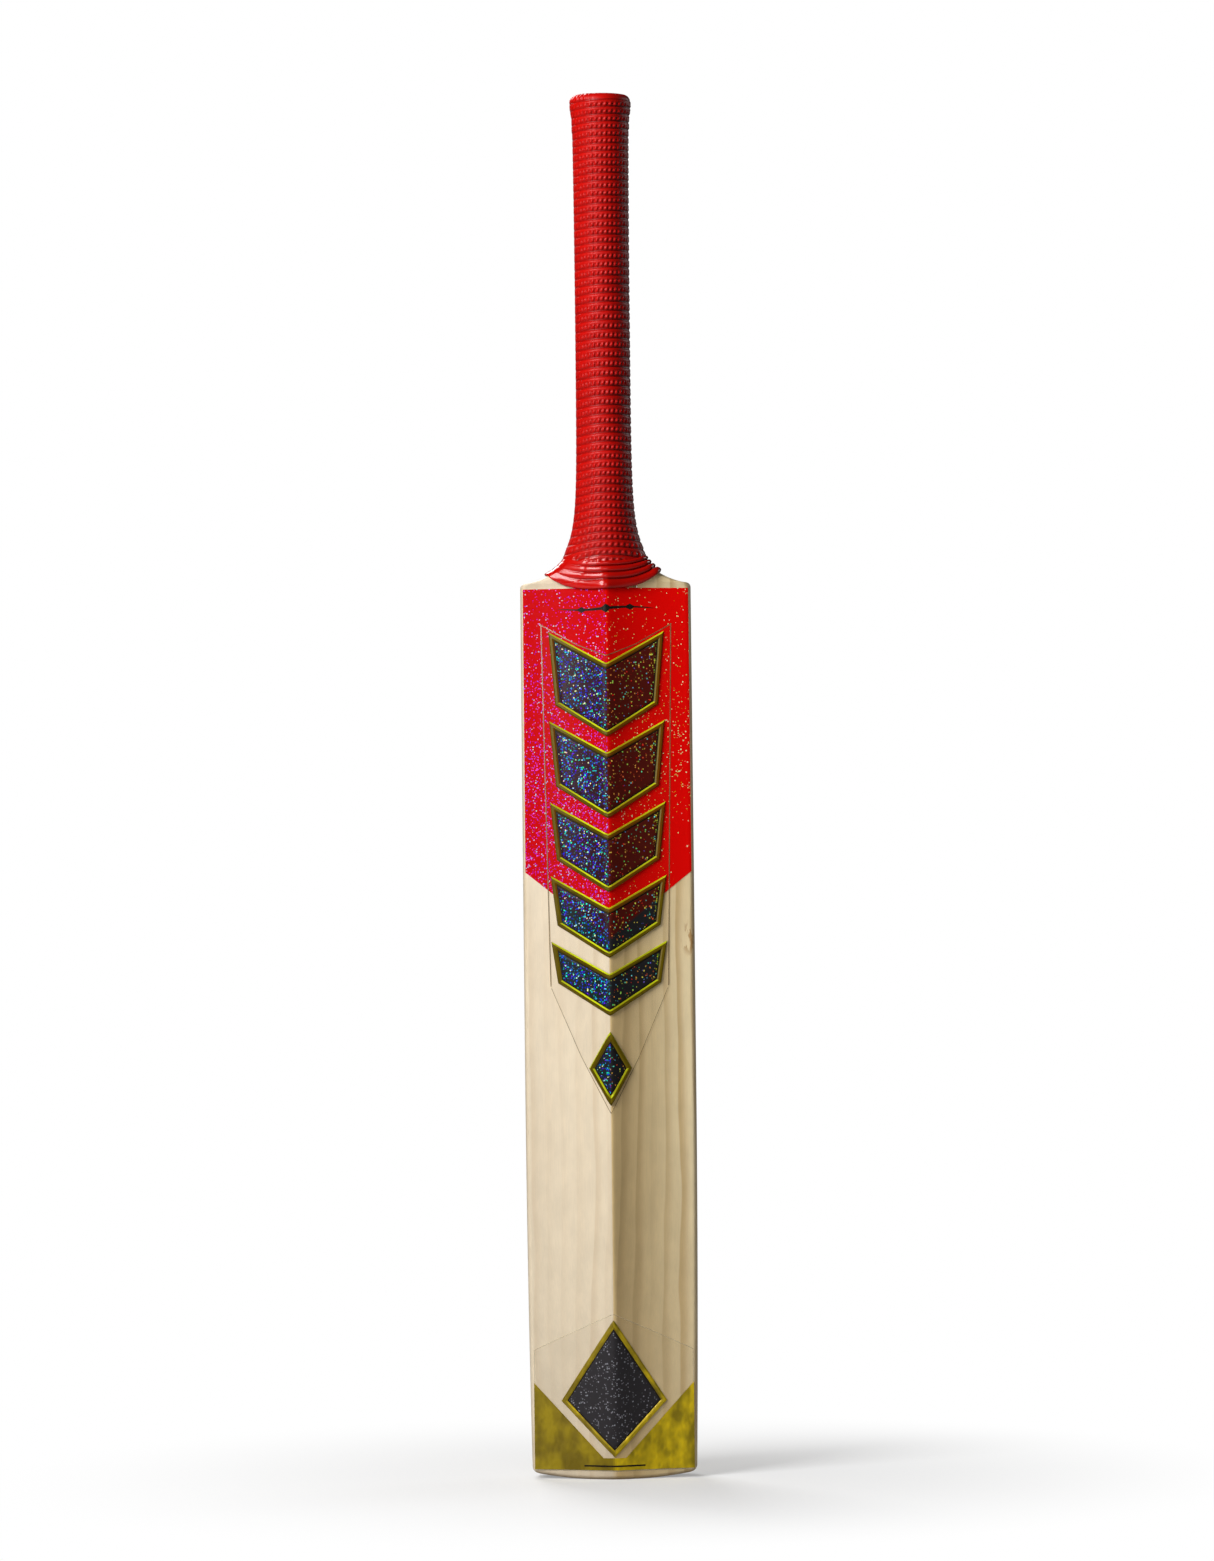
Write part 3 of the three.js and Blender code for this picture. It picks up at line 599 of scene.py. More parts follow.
def dark_glitter():
    """Dark holographic glitter. Its ground is redder over the panel, and at the toe it is only grey dust."""
    g = Graph("dark_glitter")
    side = side_share(g)
    rank, hue, shade, inside = flakes(g, FLAKE)
    red_below = over_red(g)
    toe = at_toe(g)
    # The ground is painted apart on each slope for how the light falls there: on the right it is greyer over
    # wood and a brighter maroon over the panel.
    ground_right = g.mix(red_below, (0.018, 0.018, 0.020), (0.085, 0.008, 0.005))
    ground_left = g.mix(red_below, (0.010, 0.016, 0.016), (0.030, 0.006, 0.012))
    ground = g.mix(toe, g.mix(side, ground_left, ground_right), (0.034, 0.031, 0.034))
    # Painted glints: on the left slope most flakes light up blue, and the rest run through cyan to green.
    hue_left = g.plus(g.remap(hue, 0, 0.5, 0.70, 0.645), g.remap(hue, 0.6, 1.0, 0, -0.25))
    left = g.hsv(hue_left, 1.0, g.remap(g.math("POWER", shade, 1.6), 0, 1, 0.08, 1.0))
    # Painted glints: on the right slope fewer flakes light up, most of them red or orange, and a line of cyan
    # and green ones runs inside the border.
    rim = g.times(g.remap(g.x, 27.0, 31.0), g.remap(side, 0, 1))
    red_hue = g.times(g.math("POWER", hue, 2.4), 0.7)
    right_hue = g.plus(red_hue, g.times(rim, g.remap(hue, 0, 1, 0.3, -0.2)))
    right = g.hsv(right_hue, g.remap(hue, 0, 1, 1.0, 0.8), g.remap(shade, 0, 1, 0.25, 1.0))
    stray = g.hsv(g.remap(hue, 0, 1, 0.0, 0.6), 0.5, 0.95)
    left = g.mix(g.remap(rank, 0.94, 0.95), left, stray)
    dust = g.hsv(g.remap(hue, 0, 1, 0.6, 0.75), 0.12, g.remap(shade, 0, 1, 0.12, 0.34))
    need = g.minus(g.remap(side, 0, 1, 0.38, 0.82), g.times(rim, 0.4))
    need = g.math("MAXIMUM", need, g.times(toe, 0.78))
    lit = lit_flakes(g, inside, rank, need)
    colour = g.mix(lit, ground, g.mix(side, g.mix(toe, left, dust), g.mix(toe, right, dust)))
    g.bump(hue, 0.1, 0.04)
    return g.finish(Base_Color=colour, Roughness=g.remap(rank, 0, 1, 0.3, 0.5), Specular_IOR_Level=0.12)


def gold_border():
    """Foil on the raised borders. Bevels that face up get a painted highlight, and the rest is dark."""
    g = Graph("gold_border")
    side = side_share(g)
    wave = g.noise((0.12, 0.12, 0.12), 2.0)
    # The flat foil is painted lighter on the right slope, and browner there over the red panel.
    right = g.mix(over_red(g), (0.17, 0.12, 0.004), (0.20, 0.062, 0.003))
    flat = g.mix(side, (0.09, 0.06, 0.0008), right)
    flat = g.mix(g.remap(wave, 0.35, 0.65, 0, 0.25), flat, (0.17, 0.12, 0.0015))
    # Painted highlight: bevels that face up are coloured a bright yellow-green, less on the right slope.
    up = g.times(g.remap(g.normal("Z"), 0.2, 0.45), g.remap(side, 0, 1, 1.0, 0.35))
    colour = g.mix(up, flat, (0.72, 0.80, 0.012))
    g.bump(wave, 0.3, 0.5)
    rough = g.remap(wave, 0.3, 0.7, 0.26, 0.36)
    return g.finish(Base_Color=colour, Metallic=0.1, Roughness=rough, Specular_IOR_Level=0.08)


def crumpled_gold():
    """Thin foil with soft folds, coloured with a painted sheen across them."""
    g = Graph("gold_crumpled")
    fold = g.noise((0.11, 0.11, 0.07), 2.0)
    crease = g.noise((0.28, 0.28, 0.2), 1.0)
    # Painted sheen: the folds run between a dark and a bright colour, both painted brighter on the right
    # slope.
    dark = g.mix(side_share(g), (0.23, 0.16, 0.005), (0.36, 0.26, 0.003))
    painted_sheen = g.mix(side_share(g), (0.42, 0.30, 0.006), (0.92, 0.66, 0.005))
    colour = g.mix(g.remap(fold, 0.35, 0.65), dark, painted_sheen)
    g.bump(g.plus(fold, g.times(crease, 0.4)), 0.7, 1.6)
    return g.finish(Base_Color=colour, Metallic=0.35, Roughness=g.remap(crease, 0.3, 0.7, 0.3, 0.4))


def ink():
    g = Graph("black_ink")
    speck = g.noise(None, 2.0, scale=2.0)
    colour = g.mix(g.remap(speck, 0.4, 0.7), (0.006, 0.005, 0.005), (0.03, 0.022, 0.015))
    rough = g.remap(speck, 0.3, 0.7, 0.4, 0.55)
    return g.finish(Base_Color=colour, Roughness=rough, Specular_IOR_Level=0.1)


def clear_film():
    g = Graph("clear_film")
    ripple = g.noise((0.05, 0.05, 0.02), 3.0)
    colour = g.mix(g.remap(ripple, 0.35, 0.65), (0.12, 0.09, 0.05), (0.08, 0.06, 0.03))
    g.bump(ripple, 0.3, 0.6)
    return g.finish(Base_Color=colour, Roughness=g.remap(ripple, 0.3, 0.7, 0.12, 0.2),
                    Specular_IOR_Level=0.2, Alpha=0.012)


def film_edge():
    g = Graph("film_edge")
    ripple = g.noise((0.1, 0.1, 0.1), 2.0)
    colour = g.mix(g.remap(ripple, 0.35, 0.65), (0.34, 0.24, 0.11), (0.20, 0.13, 0.05))
    # The cut edge of the toe's film hardly shows.
    toe = at_toe(g)
    colour = g.mix(toe, colour, (0.80, 0.72, 0.52))
    return g.finish(Base_Color=colour, Roughness=g.remap(ripple, 0.3, 0.7, 0.15, 0.3),
                    Alpha=g.remap(toe, 0, 1, 0.5, 0.22))


WILLOW = willow()
CANES = [cane("cane_light", 1.0), cane("cane_mid", 0.88), cane("cane_dark", 0.76)]
GRIP_RUBBER = grip_rubber()
TWINE = twine()
SPRING_RUBBER = spring_rubber()
RED_GLITTER = red_glitter()
DARK_GLITTER = dark_glitter()
GOLD = gold_border()
CRUMPLED_GOLD = crumpled_gold()
INK = ink()
CLEAR_FILM = clear_film()
FILM_EDGE = film_edge()


# ---- the blade and its splice


def toe_inset(t):
    r = TOE_RADIUS
    return np.where(t >= r, 0, r - np.sqrt(np.maximum(r * r - (r - np.minimum(t, r)) ** 2, 0)))


def toe_lift(x, z):
    """How far the toe rounds up towards its corners, fading out up the blade."""
    fade = np.maximum(0, 1 - z / TOE_FADE_Z)
    past = np.maximum(0, np.abs(x) - TOE_FLAT) / (TOE_HALF_WIDTH - TOE_FLAT)
    return fade * TOE_RISE * past**2


def chain_shares(across, corner, edge):
    """Shares along a chain, finer at the corners."""
    left = np.linspace(0, EDGE_SHARE, edge, endpoint=False)
    bend = np.linspace(EDGE_SHARE, CORNER_SHARE, corner, endpoint=False)
    flat = np.linspace(CORNER_SHARE, 1 - CORNER_SHARE, across)
    half = np.concatenate([left, bend])
    return np.concatenate([half, flat, 1 - half[::-1]])


def blade_cutter():
    """The V that the handle's splice fills, cut through the blade's full depth."""
    point = SPLICE_TIP_Z - GLUE / SPLICE_SLOPE
    top, reach = BLADE_HIGH[2] + 20, 90
    half = (top - point) * SPLICE_SLOPE
    points = [(x, y, z) for y in (-reach, reach) for x, z in ((0, point), (half, top), (-half, top))]
    faces = [(0, 1, 2), (5, 4, 3), (0, 3, 4, 1), (1, 4, 5, 2), (2, 5, 3, 0)]
    mesh = bpy.data.meshes.new("splice_cutter")
    mesh.from_pydata((np.array(points) * MM).tolist(), [], faces)
    face_outwards(mesh)
    return placed("splice_cutter", mesh)


def cut_away(piece, cutter):
    """Cuts one mesh by another and keeps the plain result."""
    boolean = piece.modifiers.new("cut", "BOOLEAN")
    boolean.operation, boolean.solver, boolean.object = "DIFFERENCE", "EXACT", cutter
    done = piece.evaluated_get(bpy.context.evaluated_depsgraph_get())
    mesh = bpy.data.meshes.new_from_object(done)
    piece.modifiers.clear()
    piece.data = mesh
    bpy.data.objects.remove(cutter)
    shade_smooth(mesh, sharp_deg=30)


def build_blade():
    chain = chain_shares(across=61, corner=6, edge=3)
    shares = np.concatenate([chain, 2 - chain[-2:0:-1]])
    low = TOE_RADIUS * (1 - np.cos(np.linspace(0, math.pi / 2, 9)))
    middle = np.linspace(TOE_RADIUS, SHOULDER_Z - 6, 150)[1:]
    shoulder = np.concatenate([
        np.linspace(SHOULDER_Z - 6, SHOULDER_Z - CORNER_RADIUS, 5)[1:],
        SHOULDER_Z - CORNER_RADIUS + CORNER_RADIUS * np.sin(np.linspace(0, math.pi / 2, 8))[1:],
        np.linspace(SHOULDER_Z + 0.25, BLADE_HIGH[2], 26),
    ])
    z = np.concatenate([low, middle, shoulder])[:, None]
    points = ring_points(shares[None, :], z, toe_inset(z))
    points[..., 2] += toe_lift(points[..., 0], points[..., 2])
    rows, count, side = len(z), len(shares), len(chain) - 1
    faces = grid_faces(rows, count, wrap=True, flip=True)
    last = (rows - 1) * count
    for i in range(side):
        front, back = (i, i + 1), ((count - i) % count, (count - i - 1) % count)
        bottom = [front[0], front[1], back[1], back[0]]
        top = [last + back[0], last + back[1], last + front[1], last + front[0]]
        for quad in (bottom, top):
            faces.append(list(dict.fromkeys(quad)))
    blade = mesh_object("willow_blade", points, faces, [WILLOW], ["blade"])
    cut_away(blade, blade_cutter())


def outer_cane(name, node, x_from, x_to, front, material):
    """A stave of the front or back row of canes, whose outer side is flush with the blade's face or back."""
    inner = min(abs(x_from), abs(x_to)) if x_from * x_to > 0 else 0.0
    start = SPLICE_TIP_Z + (inner + SPLICE_GAP) / SPLICE_SLOPE
    in_neck = np.linspace(start, SHOULDER_Z + 20, 70)
    z_rows = np.concatenate([in_neck, np.linspace(SHOULDER_Z + 22, HANDLE_TOP_Z, 60)])
    chain = np.linspace(0, 1, 400) if front else np.linspace(2, 1, 400)
    row_y = FACE_ROW_Y if front else BACK_ROW_Y
    outer, cut = [], []
    for z in z_rows:
        ring = ring_points(chain, np.full_like(chain, z))
        inside = ring[:, 0][np.abs(ring[:, 1]) > abs(row_y) + 0.02]
        wide = min((z - SPLICE_TIP_Z) * SPLICE_SLOPE, np.abs(inside).max())
        x = np.linspace(max(x_from, -wide), min(x_to, wide), 15)
        y = np.interp(x, ring[:, 0], ring[:, 1])
        outer.append(np.stack([x, y, np.full_like(x, z)], -1))
        cut.append(np.stack([x, np.full_like(x, row_y), np.full_like(x, z)], -1))
    outer, cut = np.array(outer), np.array(cut)
    points, faces = slab(outer, cut) if front else slab(outer[:, ::-1], cut[:, ::-1])
    mesh_object(name, points, faces, [material], [node])


def build_canes():
    past_edge, inner_x = 40, COLUMN_X + COLUMN_GAP
    columns = {"left": (-past_edge, -inner_x), "middle": (-COLUMN_X, COLUMN_X), "right": (inner_x, past_edge)}
    for row, front in (("face", True), ("back", False)):
        for number, (side, (x_from, x_to)) in enumerate(columns.items()):
            material = CANES[(number + (1 if front else 2)) % 3]
            outer_cane(f"{row}_cane_{side}", f"cane_{row}_{side}", x_from, x_to, front, material)
    inner = sorted(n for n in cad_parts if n.startswith("cane_mid_"))
    for number, node in enumerate(inner):
        dress(node, CANES[(number * 2) % 3])
    for node in sorted(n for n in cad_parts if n.startswith("spring_strip")):
        dress(node, SPRING_RUBBER)


def dress(node, material):
    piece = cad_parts[node]
    piece.data.materials.clear()
    piece.data.materials.append(material)


# ---- the binding under the grip


def build_binding():
    """Twine wound round the cane in one close layer: a rope-like profile that climbs one pitch per turn."""
    pitch, rows_per_turn, columns = 1.6, 6, 48
    low, high = BINDING_LOW[2], BINDING_HIGH[2]
    shares = (np.arange(columns) * 2 / columns)[None, :]
    z = np.arange(low, high, pitch / rows_per_turn)[:, None]
    turn = (z - low) / pitch - shares / 2
    outer = wrapped(shares, z, 0.72 + 0.48 * np.abs(np.sin(math.pi * turn)) ** 0.7)
    inner = wrapped(shares, z, 0.3)
    count = len(z) * columns
    points = np.concatenate([outer.reshape(-1, 3), inner.reshape(-1, 3)])
    faces = grid_faces(len(z), columns, wrap=True, flip=True)
    faces += grid_faces(len(z), columns, wrap=True, first=count)
    last = (len(z) - 1) * columns
    for i in range(columns):
        nxt = (i + 1) % columns
        faces.append([i, nxt, nxt + count, i + count])
        faces.append([last + nxt, last + i, last + i + count, last + nxt + count])
    mesh_object("wound_twine", points, faces, [TWINE], ["twine_binding"], sharp_deg=180)


# ---- the grip

RIB_PITCH, LOWER_PITCH = 4.55, 0.2  # the pitch of the ribs at the top, and what it gains below
RIB_STRETCH = 1.25  # and how much the pull of the sleeve adds
STRETCH_Z, STRETCH_SPAN = 695.0, 68.0
TOP_RIB_Z, TOP_RIB_SHARE = 866.9, 0.68  # a height in the top rib, and its share of the way down that rib
BEADS, BEAD_SHARE = 36, 0.62  # beads round the grip, and how far down its rib a bead has its middle
RIB_TILT = 0.06  # the ribs sit a little askew
RIB_ARCH = (0.0022, 0.0080)  # and arch over the back, least at the top and most by the neck
WALL, HEM_WALL, BEAD_WALL = 1.65, 1.8, 2.6
GRIP_GAP, UNDER_GRIP = 0.5, 1.2
CUFF_RIBS, CUFF_OUT = 5.0, 0.3  # the top ribs that stand out further, and by how much
RIB_CREST, RIB_DEPTH = 0.15, 1.1  # how far a rib stands out from the wall, and the depth of the grooves
COLLAR_SINK, RING_DEPTH, RING_MIDDLE = 0.3, 1.5, 0.4
COLLAR_LENGTH = 17.6
COLLAR_RINGS = ((0.0, 5.8), (6.4, 10.2), (10.8, 14.2), (14.7, 17.4))  # from and to, up from the hem
TOP_ROLL, MOUTH, LIP, LIP_STEP = 4.2, 10.4, 2.0, 1.6
SEAM_SHARE, SEAM_DRIFT = 1.59, 0.06  # where the seam runs round the grip, and its drift by the hem
SEAM_DEPTH, SEAM_WIDTH = 0.18, 0.012


def rib_count(z):
    """Ribs between the top of the grip and height z, counted down."""
    from_top = np.linspace(BAT_LENGTH + 8, GRIP_LOW[2] - 8, 2000)
    pitch = RIB_PITCH + LOWER_PITCH * smooth(from_top, 860, 780)
    pitch = pitch + RIB_STRETCH * np.exp(-(((from_top - STRETCH_Z) / STRETCH_SPAN) ** 2))
    steps = np.concatenate([[0], np.cumsum(-np.diff(from_top) / pitch[:-1])])
    anchor = np.interp(-TOP_RIB_Z, -from_top, steps)
    return np.interp(-z, -from_top, steps) - anchor + TOP_RIB_SHARE


def rib_height(count, turn):
    """Height of a rib's moulding, 0 to 1: a smooth band, then a row of slanted beads, then a groove."""
    f = count - np.floor(count)
    band = 0.85 * smooth(f, 0.0, 0.14)
    lobe = (0.5 + 0.5 * np.cos(2 * math.pi * (turn * BEADS - 0.35 * (f - BEAD_SHARE)))) ** 0.9
    round_bead = np.clip(1 - ((f - BEAD_SHARE) / 0.22) ** 2, 0, 1) ** 0.5
    beads = 0.25 + 0.75 * lobe * round_bead
    share = smooth(f, 0.36, 0.46)
    return (band * (1 - share) + beads * share) * (1 - smooth(f, 0.80, 0.90))


def grip_height(shares, z):
    """Height of a ring of the grip, which follows the raised and tilted hem less and less up to EVEN_Z."""
    follow = np.clip((EVEN_Z - z) / (EVEN_Z - GRIP_LOW[2]), 0, 1)
    height = z + 0 * shares
    for _ in range(12):
        x = ring_points(shares, height)[..., 0]
        rise = HEM_RISE * np.minimum(1, np.abs(x) / HEM_REACH) ** HEM_POWER + HEM_TILT * x
        height = (height + z + follow * rise) / 2
    return height


def collar_height(up):
    """Smooth moulded rings round the collar, by distance up from the hem, between 0 and 1."""
    height = np.zeros_like(up)
    for low, high in COLLAR_RINGS:
        middle, half = (low + high) / 2, (high - low) / 2
        height = np.maximum(height, np.clip(1 - np.abs((up - middle) / half) ** 2.6, 0, 1) ** 0.5)
    return height


def under_grip(z):
    return GRIP_GAP + smooth(z, 574, 584) * UNDER_GRIP


def grip_wall(z):
    hem = 1 - smooth(z, GRIP_LOW[2], GRIP_LOW[2] + 6)
    bead = smooth(z, HANDLE_TOP_Z - 14, HANDLE_TOP_Z - 5)
    return WALL + (HEM_WALL - WALL) * hem + (BEAD_WALL - WALL) * bead


def build_grip():
    per_bead, per_rib = 8, 9
    columns = BEADS * per_bead
    shares = (np.arange(columns) * 2 / columns)[None, :]
    hem_z = GRIP_LOW[2] + 0.2
    collar_top = hem_z + COLLAR_LENGTH
    ribbed_z = BAT_LENGTH - TOP_ROLL
    fine = np.linspace(hem_z, collar_top, 46)[:-1]
    ribs = np.linspace(collar_top, ribbed_z, int(rib_count(collar_top) * per_rib))
    z = np.concatenate([fine, ribs])[:, None]

    height = grip_height(shares, z)
    x = ring_points(shares, height)[..., 0]
    up = z - hem_z
    in_collar = 1 - smooth(up, 16.6, 18.2)
    arch_share = smooth(height, 780, 630)
    arch = (RIB_ARCH[0] + (RIB_ARCH[1] - RIB_ARCH[0]) * arch_share) * np.minimum(x**2, 500)
    count = rib_count(height - RIB_TILT * x + arch)
    across = np.cos(math.pi * (1 - shares))
    flatter = 1 - 0.85 * smooth(-across, 0.7, 1.0) - 0.55 * smooth(across, 0.8, 1.0)
    rib = rib_height(count, shares / 2)
    ribs_out = RIB_CREST - RIB_DEPTH * flatter * (1 - rib)
    cuff = smooth(CUFF_RIBS - count, -0.1, 0.1) * CUFF_OUT
    # The collar's rings stand out in front, behind and to the right, and are pulled flat on the left.
    pulled = smooth(-across, 0.2, 0.85)
    ring_shape = collar_height(np.broadcast_to(up, count.shape))
    collar_out = -COLLAR_SINK + RING_DEPTH * (ring_shape - RING_MIDDLE) * (1 - 0.9 * pulled)
    seam_at = SEAM_SHARE + SEAM_DRIFT * smooth(height, 700, 580)
    seam = np.exp(-(((shares - seam_at) / SEAM_WIDTH) ** 2)) * SEAM_DEPTH
    moulding = np.where(in_collar > 0.5, collar_out, ribs_out + cuff) - seam
    # How far each point lies in a hollow, for the painted shade there.
    hollow_shade = np.where(in_collar > 0.5, (1 - ring_shape) * (1 - 0.9 * pulled), (1 - rib) ** 1.5)
    outer = wrapped(shares, height, under_grip(z) + grip_wall(z) + moulding)

    # The rounded top edge, the lip round the mouth, and down inside to the hem.
    ratio = HANDLE_HALF_DEPTH / HANDLE_HALF_WIDTH
    angle = math.pi * (1 - shares[0])
    edge = outer[-1]
    profile = []
    for bend in np.linspace(0, 1, 12)[1:] * math.pi / 2:
        profile.append((TOP_ROLL * (1 - math.cos(bend)), ribbed_z + TOP_ROLL * math.sin(bend)))

    def ring(radius, z_at):
        x, y = np.cos(angle) * radius, np.sin(angle) * radius * ratio
        return np.stack([x, y, np.full_like(angle, z_at)], -1)

    rows = []
    flat_edge = np.stack([edge[:, 0], edge[:, 1], np.zeros(columns)], -1)
    radial = flat_edge / np.linalg.norm(flat_edge, axis=1, keepdims=True)
    for inwards, z_at in profile:
        row = flat_edge - radial * inwards
        row[:, 2] = z_at
        rows.append(row)
    for wider, lower in ((LIP_STEP, 0), (0.6, 0.25), (0, 1.0), (0.3, 1.7), (1.2, LIP)):
        rows.append(ring(MOUTH + wider, BAT_LENGTH - lower))
    inner_z = [np.linspace(HANDLE_TOP_Z - 1, EVEN_Z, 24), np.linspace(EVEN_Z, hem_z, 24)[1:]]
    inner_z = np.concatenate(inner_z)[:, None]
    rows.append(ring(HANDLE_HALF_WIDTH + TOP_FLARE + LIP_STEP, BAT_LENGTH - LIP))
    inner = wrapped(shares, grip_height(shares, inner_z), under_grip(inner_z))

    grid = np.concatenate([outer, np.array(rows), inner])
    depth = np.zeros(grid.shape[:2])
    depth[:len(outer)] = hollow_shade
    total = len(grid)
    faces = grid_faces(total, columns, wrap=True, flip=True)
    last = (total - 1) * columns
    for i in range(columns):
        nxt = (i + 1) % columns
        faces.append([last + i, i, nxt, last + nxt][::-1])
    mesh_object("ribbed_grip", grid, faces, [GRIP_RUBBER], ["rubber_grip"], sharp_deg=75,
                depth=depth.ravel())


# ---- decals

# How far the outer sides of the layers stand off the wood, on the blade's upper part and at the toe.
PANEL_OUT, FILM_OUT, INLAY_OUT, FRAME_OUT = 0.25, 0.42, 0.95, 1.45
TOE_FILM_OUT, TOE_FOIL_OUT, TOE_INLAY_OUT, TOE_FRAME_OUT = 0.2, 0.45, 0.7, 0.95
BARE, LAYER_GAP, INK_SINK = 0.02, 0.05, 0.02  # gaps under a layer, on wood and on film, and the ink's depth
FINE_STEP, FILM_STEP = 1.2, 1.5
SIDE_MARGIN = 1.9  # bare wood between a decal and the blade's side
PANEL_SIDE = 178.0  # length of the panel's straight sides
TOE_FILM_SIDE_Z, KITE_MIDDLE_Z = 82.0, 50.0
BORDER, KEYLINE, BEVEL, BORDER_LEAN, KEYLINE_SINK = 3.0, 0.7, 0.8, 0.03, 0.05
TUCK = 0.1  # how far an inlay reaches under its border


def away_from_outline(x, z, outline):
    """Distance of points from the nearest side of a polygon."""
    nearest = np.full(np.shape(x), np.inf)
    for (ax, az), (bx, bz) in zip(outline, outline[1:] + outline[:1]):
        along = ((x - ax) * (bx - ax) + (z - az) * (bz - az)) / max((bx - ax) ** 2 + (bz - az) ** 2, 1e-9)
        along = np.clip(along, 0, 1)
        nearest = np.minimum(nearest, np.hypot(x - ax - along * (bx - ax), z - az - along * (bz - az)))
    return nearest


def draped(name, columns, rows, low_out, high_out, materials, replaces, rim=0.0, dome=0.0):
    """A decal laid over the back. Each column is (x, z) at its top and (x, z) at its foot.

    A rim gets the second material. A dome rounds the decal down to its outline over that width."""
    columns = np.array(columns, float)
    if rim:
        first, last = columns[0], columns[-1]
        beside = (rim, 0, rim, 0)
        columns = np.concatenate([[first, first + beside], columns[1:-1], [last - beside, last]])
    top, foot = columns[:, 1], columns[:, 3]
    height = np.maximum(top - foot, 0)
    edge = np.minimum(max(rim, 0.3), height / 3)
    share = np.linspace(0, 1, rows - 2)[:, None]
    z = (top - edge) * (1 - share) + (foot + edge) * share
    z = np.concatenate([top[None, :], z, foot[None, :]])
    along = (top - z) / np.maximum(height, 1e-9)
    x = columns[None, :, 0] * (1 - along) + columns[None, :, 2] * along
    out = np.full(x.shape, high_out)
    if dome:
        outline = [tuple(c[:2]) for c in columns] + [tuple(c[2:]) for c in columns[::-1]]
        share = np.clip(away_from_outline(x, z, outline) / dome, 0, 1)
        out = low_out + (high_out - low_out) * (0.25 + 0.75 * np.sqrt(1 - (1 - share) ** 2))
    points, faces = slab(on_back(x, z, out), on_back(x, z, np.full(x.shape, low_out)))
    which = None
    if rim:
        count = len(columns) - 1
        which = [1] * len(faces)
        for i in range((rows - 1) * count):
            row, column = divmod(i, count)
            inside = 0 < row < rows - 2 and 0 < column < count - 1
            which[i] = 0 if inside else 1
            which[i + (rows - 1) * count] = which[i]
    return mesh_object(name, points, faces, materials, replaces, which)


def spread(knots, step):
    """Straight runs between knots, cut into pieces of about one step, with every knot kept."""
    knots = [np.array(k, float) for k in knots]
    line = [knots[0]]
    for a, b in zip(knots, knots[1:]):
        pieces = max(1, int(math.ceil(np.abs(b - a).max() / step)))
        line += [a + (b - a) * i / pieces for i in range(1, pieces + 1)]
    return line


def inset_corners(corners, distance):
    """A polygon drawn counter-clockwise with each side moved inwards."""
    corners = [np.array(c, float) for c in corners]
    moved = []
    for a, b in zip(corners, corners[1:] + corners[:1]):
        way = b - a
        inwards = np.array([-way[1], way[0]]) / np.linalg.norm(way)
        moved.append((a + inwards * distance, way))
    result = []
    for (p, u), (q, v) in zip(moved[-1:] + moved[:-1], moved):
        t = ((q[0] - p[0]) * v[1] - (q[1] - p[1]) * v[0]) / (u[0] * v[1] - u[1] * v[0])
        result.append(p + u * t)
    return result


def raised_border(name, corners, foil, replaces, base_out, top_out):
    """A bevelled strip inside an outline, with a thin black line along its inner side."""
    step = (top_out - base_out) * 0.35
    profile = [
        (0.0, base_out), (BORDER_LEAN, base_out + step), (BEVEL, top_out), (BORDER - BEVEL, top_out),
        (BORDER - BORDER_LEAN, base_out + step), (BORDER, base_out + step - KEYLINE_SINK),
        (BORDER + KEYLINE, base_out + step - KEYLINE_SINK), (BORDER + KEYLINE, base_out),
    ]
    rings = []
    for distance, out in profile:
        at = inset_corners(corners, distance)
        line = []
        for a, b, c, d in zip(corners, list(corners[1:]) + [corners[0]], at, at[1:] + at[:1]):
            side = np.linalg.norm(np.array(b, float) - np.array(a, float))
            pieces = max(1, int(math.ceil(side / FILM_STEP)))
            line += [c + (d - c) * i / pieces for i in range(pieces)]
        line = np.array(line)
        rings.append(on_back(line[:, 0], line[:, 1], np.full(len(line), out)))
    grid = np.array(rings)
    rows, columns = grid.shape[:2]
    faces = grid_faces(rows, columns, wrap=True, flip=True)
    which = [1 if i // columns in (5, 6) else 0 for i in range(len(faces))]
    last = (rows - 1) * columns
    for i in range(columns):
        faces.append([last + (i + 1) % columns, last + i, i, (i + 1) % columns][::-1])
        which.append(0)
    mesh_object(name, grid, faces, [foil, INK], replaces, which, sharp_deg=28)


def bar_columns(corners):
    """Columns over a V-shaped bar, whose corners run from its left top, by the foot, to its middle top."""
    left_top, left_foot, mid_foot, right_foot, right_top, mid_top = corners
    knots = [(*left_top, *left_foot), (*mid_top, *mid_foot), (*right_top, *right_foot)]
    return spread(knots, FINE_STEP)


def kite_columns(corners):
    left, foot, right, top = corners
    return spread([(*left, *left), (*top, *foot), (*right, *right)], FINE_STEP)


def framed_glitter(border, glitter, node, corners, foil, low, inlay_out, frame_out, dome):
    """A raised border and the domed glitter inside it."""
    raised_border(border, corners, foil, [f"{node}_frame"], low, frame_out)
    inner = inset_corners(corners, BORDER + KEYLINE - TUCK)
    columns = bar_columns(inner) if len(inner) == 6 else kite_columns(inner)
    draped(glitter, columns, 40, low, inlay_out, [DARK_GLITTER], [f"{node}_inlay"], dome=dome)


def build_panel():
    wide = HALF_WIDTH - SIDE_MARGIN
    edge_z = PANEL_HIGH[2] - PANEL_SIDE
    knots = [(-wide, PANEL_HIGH[2], -wide, edge_z), (0, PANEL_HIGH[2] + 0.3, 0, PANEL_TIP_Z),
             (wide, PANEL_HIGH[2], wide, edge_z)]
    columns = spread(knots, FINE_STEP)
    draped("red_foil_panel", columns, 150, BARE, PANEL_OUT, [RED_GLITTER], ["red_panel"])


LEAN, DROP = 4.0, 20.0  # how far a bar's sides lean in towards its foot, and how deep its V is


